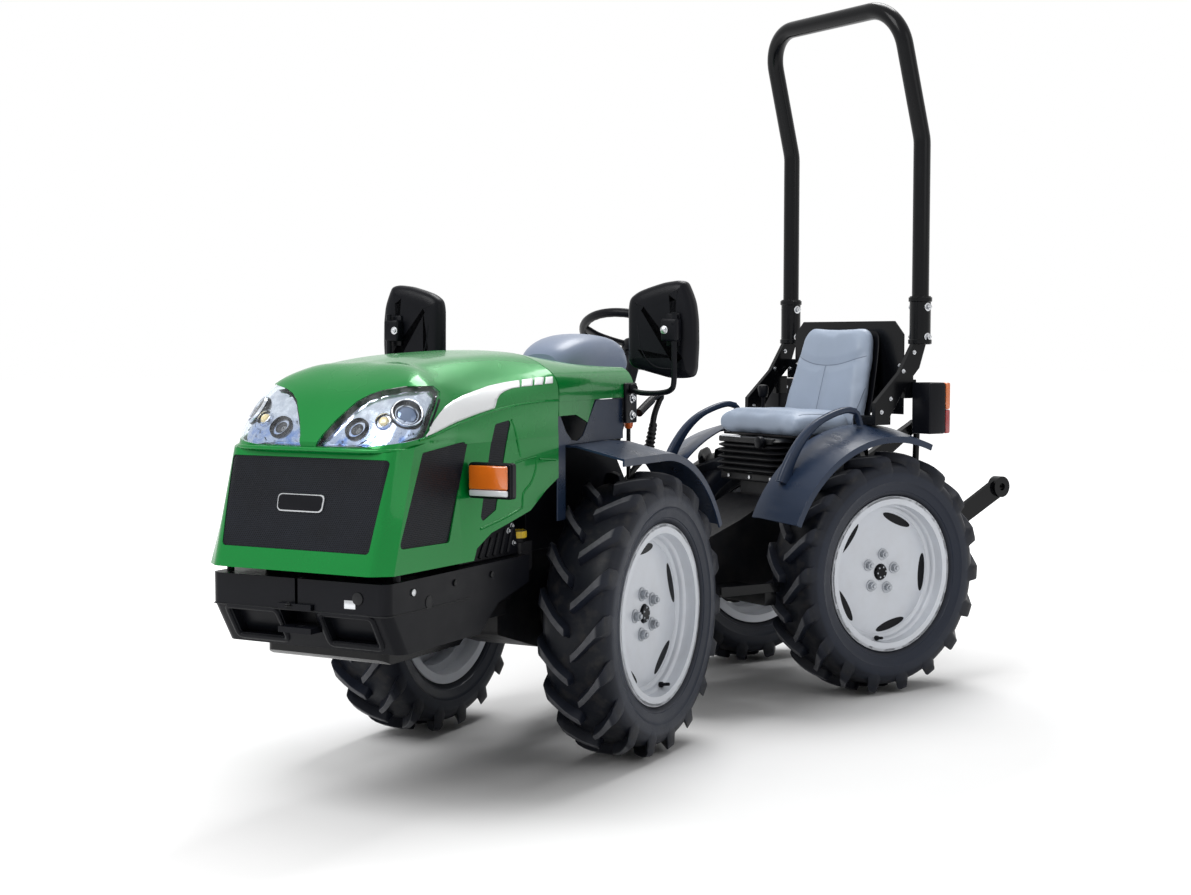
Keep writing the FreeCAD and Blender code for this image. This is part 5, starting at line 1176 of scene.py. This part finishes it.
def build_mirrors():
    for side, tag in SIDES:
        outline = rounded(mirrored(side, MIRROR), 0.012, 4)
        head, glass, arm = Form(), Form(), Form()
        head.skin([[(x, y, z) for x, z in inset(outline, gap)] for gap, y in MIRROR_STEPS])
        head.tube(mirrored(side, MIRROR_RIB), 0.0022, 10)
        head.done("mirror_shell_" + tag, "black_plastic", "front_unit", sharp=35, replaces="mirror_heads")
        glass.plate(inset(outline, 0.007), -0.5512, -0.5502, 1, 0.0003)
        glass.done("mirror_glass_" + tag, "mirror_glass", "front_unit", sharp=30, slot="bright_steel")
        arm.tube(mirrored(side, MIRROR_ARM), 0.007, 16, 7)
        arm.disc((side * POLE_X, POLE_Y, 1.086), (side * POLE_X, POLE_Y, 1.0885), 0.0074, 0.0008, 16)
        arm.block((side * 0.382, -0.6195, 1.018), (side * 0.426, -0.5905, 1.074), 0.006, 3)
        arm.block((side * 0.386, -0.596, 1.006), (side * 0.422, -0.588, 1.086), 0.003)
        arm.nut((side * 0.392, -0.619, 1.046), (0, -1, 0), 0.0068, 0.006, 1)
        arm.disc((side * POLE_X, -0.6205, 1.062), (side * POLE_X, -0.6175, 1.062), 0.0045, 0.0008, 12)
        arm.block((side * 0.2275, -0.5145, 0.812), (side * 0.2375, -0.4525, 0.9135), 0.004)
        arm.disc((side * 0.237, -0.484, 0.899), (side * 0.247, -0.49, 0.899), 0.0125, 0.002, 20)
        for z in (0.874, 0.832):
            arm.nut((side * 0.2372, -0.484, z), ACROSS * side, 0.0085, 0.008, 1)
        arm.done("mirror_bracket_" + tag, "black_plastic bright_steel", "front_unit", sharp=40,
                 replaces="mirror_arms")


def build_steering_wheel():
    """A ring with finger notches on its inner side, three spokes and a hub, about the wheel's own Z axis."""
    place = FRONT @ Matrix.Translation((0, 0.02, 1.02)) @ Matrix.Rotation(math.radians(-30), 4, "X")
    wheel = Form()
    rows, steps = [], 72
    for turn in (math.tau * i / steps for i in range(steps)):
        ring = []
        for a in (math.tau * k / 16 for k in range(16)):
            r = GRIP_RADIUS - 0.001 * max(0.0, math.cos(turn * steps / 2)) * max(0.0, -math.cos(a))
            reach = WHEEL_RADIUS + r * math.cos(a)
            ring.append((reach * math.sin(turn), reach * math.cos(turn), r * math.sin(a)))
        rows.append(ring)
    wheel.skin(rows, around=True)
    for turn in (0, 120, 240):
        spin = Matrix.Rotation(math.radians(turn), 3, "Z")
        wheel.strap([spin @ Vector(p) for p in SPOKE],
                    lambda t: 0.017 - 0.0072 * math.sin(math.pi * min(1, t * 1.1)), lambda t: 0.0055,
                    spin @ ACROSS)
    wheel.lathe(HUB, standing(0, 0, 0))
    wheel.lathe(HUB_CAP, standing(0, 0, 0), 28)
    wheel.done("steering_wheel_rim", "black_plastic", "steering", place, 40, replaces="steering_wheel")


def build_levers():
    """A straight lever with an orange knob, and a bent one with a rubber grip and a ribbed rubber sleeve."""
    orange, rubber = 1, 2
    x, y = 0.08, -0.19
    lever = Form()
    lever.tube([(x, y, 0.522), (x, y, 0.65), (x, y, 0.786)], 0.006, 12, 3)
    lever.lathe(FRONT_KNOB, standing(x, y, 0.798), 24, orange)
    lever.tube(LONG_LEVER, 0.0086, 14, 6)
    lever.tube(GRIP, 0.0115, 14, 5, rubber)
    ribs = [(-0.037, 0.0)]
    for k in range(6):
        base = -0.036 + k * 0.012
        ribs += [(base, 0.0105), (base + 0.006, 0.0158 - 0.0008 * k)]
    ribs += [(0.036, 0.0095), (0.0365, 0.0)]
    lean = Vector((0.004, 0.028, 0.09)).to_track_quat("X", "Z").to_matrix().to_4x4()
    lever.lathe(ribs, Matrix.Translation((0.0985, -0.086, 0.757)) @ lean, 24, rubber)
    lever.done("front_lever_set", "black_paint orange_knob bellows_rubber", "front_unit", sharp=40,
               slot="black_plastic", replaces="front_levers")


def build_tank_cap():
    cap = Form()
    x, y, radius = 0.177, -0.958, 0.0224
    cap.lathe(TANK_CAP, standing(x, y, 0.5645), 30)
    for a in (math.tau * k / 12 for k in range(12)):
        foot = Vector((x + radius * math.cos(a), y + radius * math.sin(a), 0.5665))
        cap.disc(foot, foot + UP * 0.015, 0.0013, 0.0004, 8)
    cap.done("side_tank_cap", "yellow_cap", "front_unit", sharp=40, slot="grey_plastic")


# ---------------------------------------------------------------- bumper
NOSE_Y, RAKE_TOP, RAKE = -1.552, 0.468, 0.598
POCKET = [(0.054, 0.393), (0.186, 0.393), (0.186, 0.4625), (0.054, 0.4625)]
SEAM_END = [(-0.2262, -1.24, 0.466), (-0.2262, -1.535, 0.466), (-0.22, -1.547, 0.466),
            (-0.207, -1.5522, 0.466)]


def bumper_face(z):
    """How far ahead the bumper's raked face stands at a height."""
    return NOSE_Y + max(0.0, RAKE_TOP - z) * RAKE


def pocket_frame(trim, side):
    """A raised frame round a pocket in the bumper's face, and the bars along its foot."""
    out = Vector((0, -0.86, -0.51))
    loop = [Vector((x, bumper_face(z) - 0.0005, z)) for x, z in rounded(mirrored(side, POCKET), 0.012)]
    rows = []
    for before, p, after in zip(loop[-1:] + loop[:-1], loop, loop[1:] + loop[:1]):
        ahead = (after - before).normalized()
        rows.append(ring_of(p, ahead.cross(out) * 0.0062, out * 0.0048, 10))
    trim.skin(rows, around=True)
    y = bumper_face(0.3905)
    for k in range(5):
        x = side * (0.072 + 0.0235 * k)
        trim.block((x - 0.0075, y - 0.0005, 0.3862), (x + 0.0075, y + 0.004, 0.3925), 0.001, 1, 1)


def build_bumper():
    dress("bumper", bevel=0.004, segments=3, angle=28)
    rubber, steel = 1, 2
    trim, plate = Form(), Form()
    for side, _ in SIDES:
        pocket_frame(trim, side)
        for y, material in ((-1.46, steel), (-1.3, rubber), (-1.15, rubber)):
            trim.disc((side * 0.2255, y, 0.506), (side * 0.23, y, 0.506), 0.0075, 0.001, 18, material)
        trim.disc((side * 0.2255, -1.4, 0.478), (side * 0.2275, -1.4, 0.478), 0.014, 0.001, 22, rubber)
    front = [(-0.17 + 0.0425 * k, -1.5522, 0.466) for k in range(9)]
    trim.tube(SEAM_END + front + mirrored(-1, SEAM_END[::-1]), 0.0015, 8, 1, rubber)
    trim.disc((0.155, -1.5515, 0.5), (0.155, -1.555, 0.5), 0.013, 0.0012, 24, rubber)
    trim.nut((-0.014, -1.5595, 0.4745), UP, 0.006, 0.006, rubber)
    trim.done("bumper_trim", "black_plastic bellows_rubber bright_steel", "front_unit", sharp=35)
    plate.block((0.122, -1.5545, 0.478), (0.15, -1.5515, 0.496), 0.0012)
    plate.done("blank_plate", "bright_steel", "front_unit")


# ---------------------------------------------------------------- dressing the tractor
build_surfaces()
tyre_material()
mesh_material()
glass_material()
chrome_material()

build_wheels()
build_bonnet()
build_lamps()
build_seat()
build_suspension()
build_rear_trim()
build_mirrors()
build_steering_wheel()
build_levers()
build_tank_cap()
build_bumper()

for node in sorted(NODES):
    if not NODES[node].hide_render:
        dress(node)


# ---------------------------------------------------------------- stage, light and camera
FLOOR_HALF = 40
WHITE = (1, 1, 1, 1)
GLOW_START, GLOW_END, GLOW = 1.0, 3.2, 0.8
WORLD_LIGHT, WORLD_SHOWN = 0.42, 1.0
LOOK_AT = (0, 0, 0.7)


def seen_rays(n):
    """1 for rays from the camera, a reflection or a clear piece."""
    path = n.add("LightPath").outputs
    return n.math("MAXIMUM", path["Is Camera Ray"],
                  n.math("MAXIMUM", path["Is Glossy Ray"], path["Is Transmission Ray"]))


def build_stage():
    """A pale floor that takes the shadow near the tractor and glows to white further out."""
    corners = [(x * FLOOR_HALF, y * FLOOR_HALF, 0) for x, y in ((-1, -1), (1, -1), (1, 1), (-1, 1))]
    plane = bpy.data.meshes.new("floor")
    plane.from_pydata(corners, [], [(0, 1, 2, 3)])
    floor = link("floor", plane)
    n, place = begin("studio_floor")
    tone = n.mix(n.noise(place, 3.0), (0.79, 0.79, 0.79, 1), (0.81, 0.81, 0.81, 1))
    distance = n.add("VectorMath", {0: place}, operation="LENGTH").outputs["Value"]
    glow = n.times(n.spread(distance, GLOW_START, GLOW_END, 0.0, GLOW), seen_rays(n))
    light = n.add("Emission", {"Color": WHITE, "Strength": glow})
    n.output(n.add("AddShader", {0: n.add("BsdfDiffuse", {"Color": tone}), 1: light}))
    plane.materials.append(MATERIALS["studio_floor"])


def build_world():
    world = bpy.data.worlds.new("studio")
    SCENE.world = world
    n = Nodes(world)
    lit, shown = (n.add("Background", {"Color": WHITE, "Strength": value}) for value in (WORLD_LIGHT,
                                                                                         WORLD_SHOWN))
    n.output(n.add("MixShader", {0: seen_rays(n), 1: lit, 2: shown}), "World")


def area_light(name, place, target, size, power):
    data = bpy.data.lights.new(name, "AREA")
    data.shape = "RECTANGLE"
    data.size, data.size_y = size, size
    data.energy = power
    aim(link(name, data), place, target)


def aim(item, place, target):
    """Puts a light or the camera in its place, looking at the target."""
    item.location = place
    item.rotation_euler = (Vector(target) - Vector(place)).to_track_quat("-Z", "Y").to_euler()


build_stage()
build_world()
area_light("key", (0.9, -4.2, 4.4), (0, 0, 0.6), 3.0, 200)
area_light("fill", (5.5, 1.5, 3.0), LOOK_AT, 3.0, 28)
area_light("back", (-1.8, 2.6, 6.5), LOOK_AT, 3.2, 340)

camera_data = bpy.data.cameras.new("camera")
camera_data.lens = 52.32
camera_data.clip_start = 0.1
camera = link("camera", camera_data)
aim(camera, (3.776, -2.696, 1.024), (-0.338, -0.007, 0.716))
SCENE.camera = camera
SCENE.view_settings.view_transform = "Standard"

# ---------------------------------------------------------------- end
bpy.context.view_layer.update()
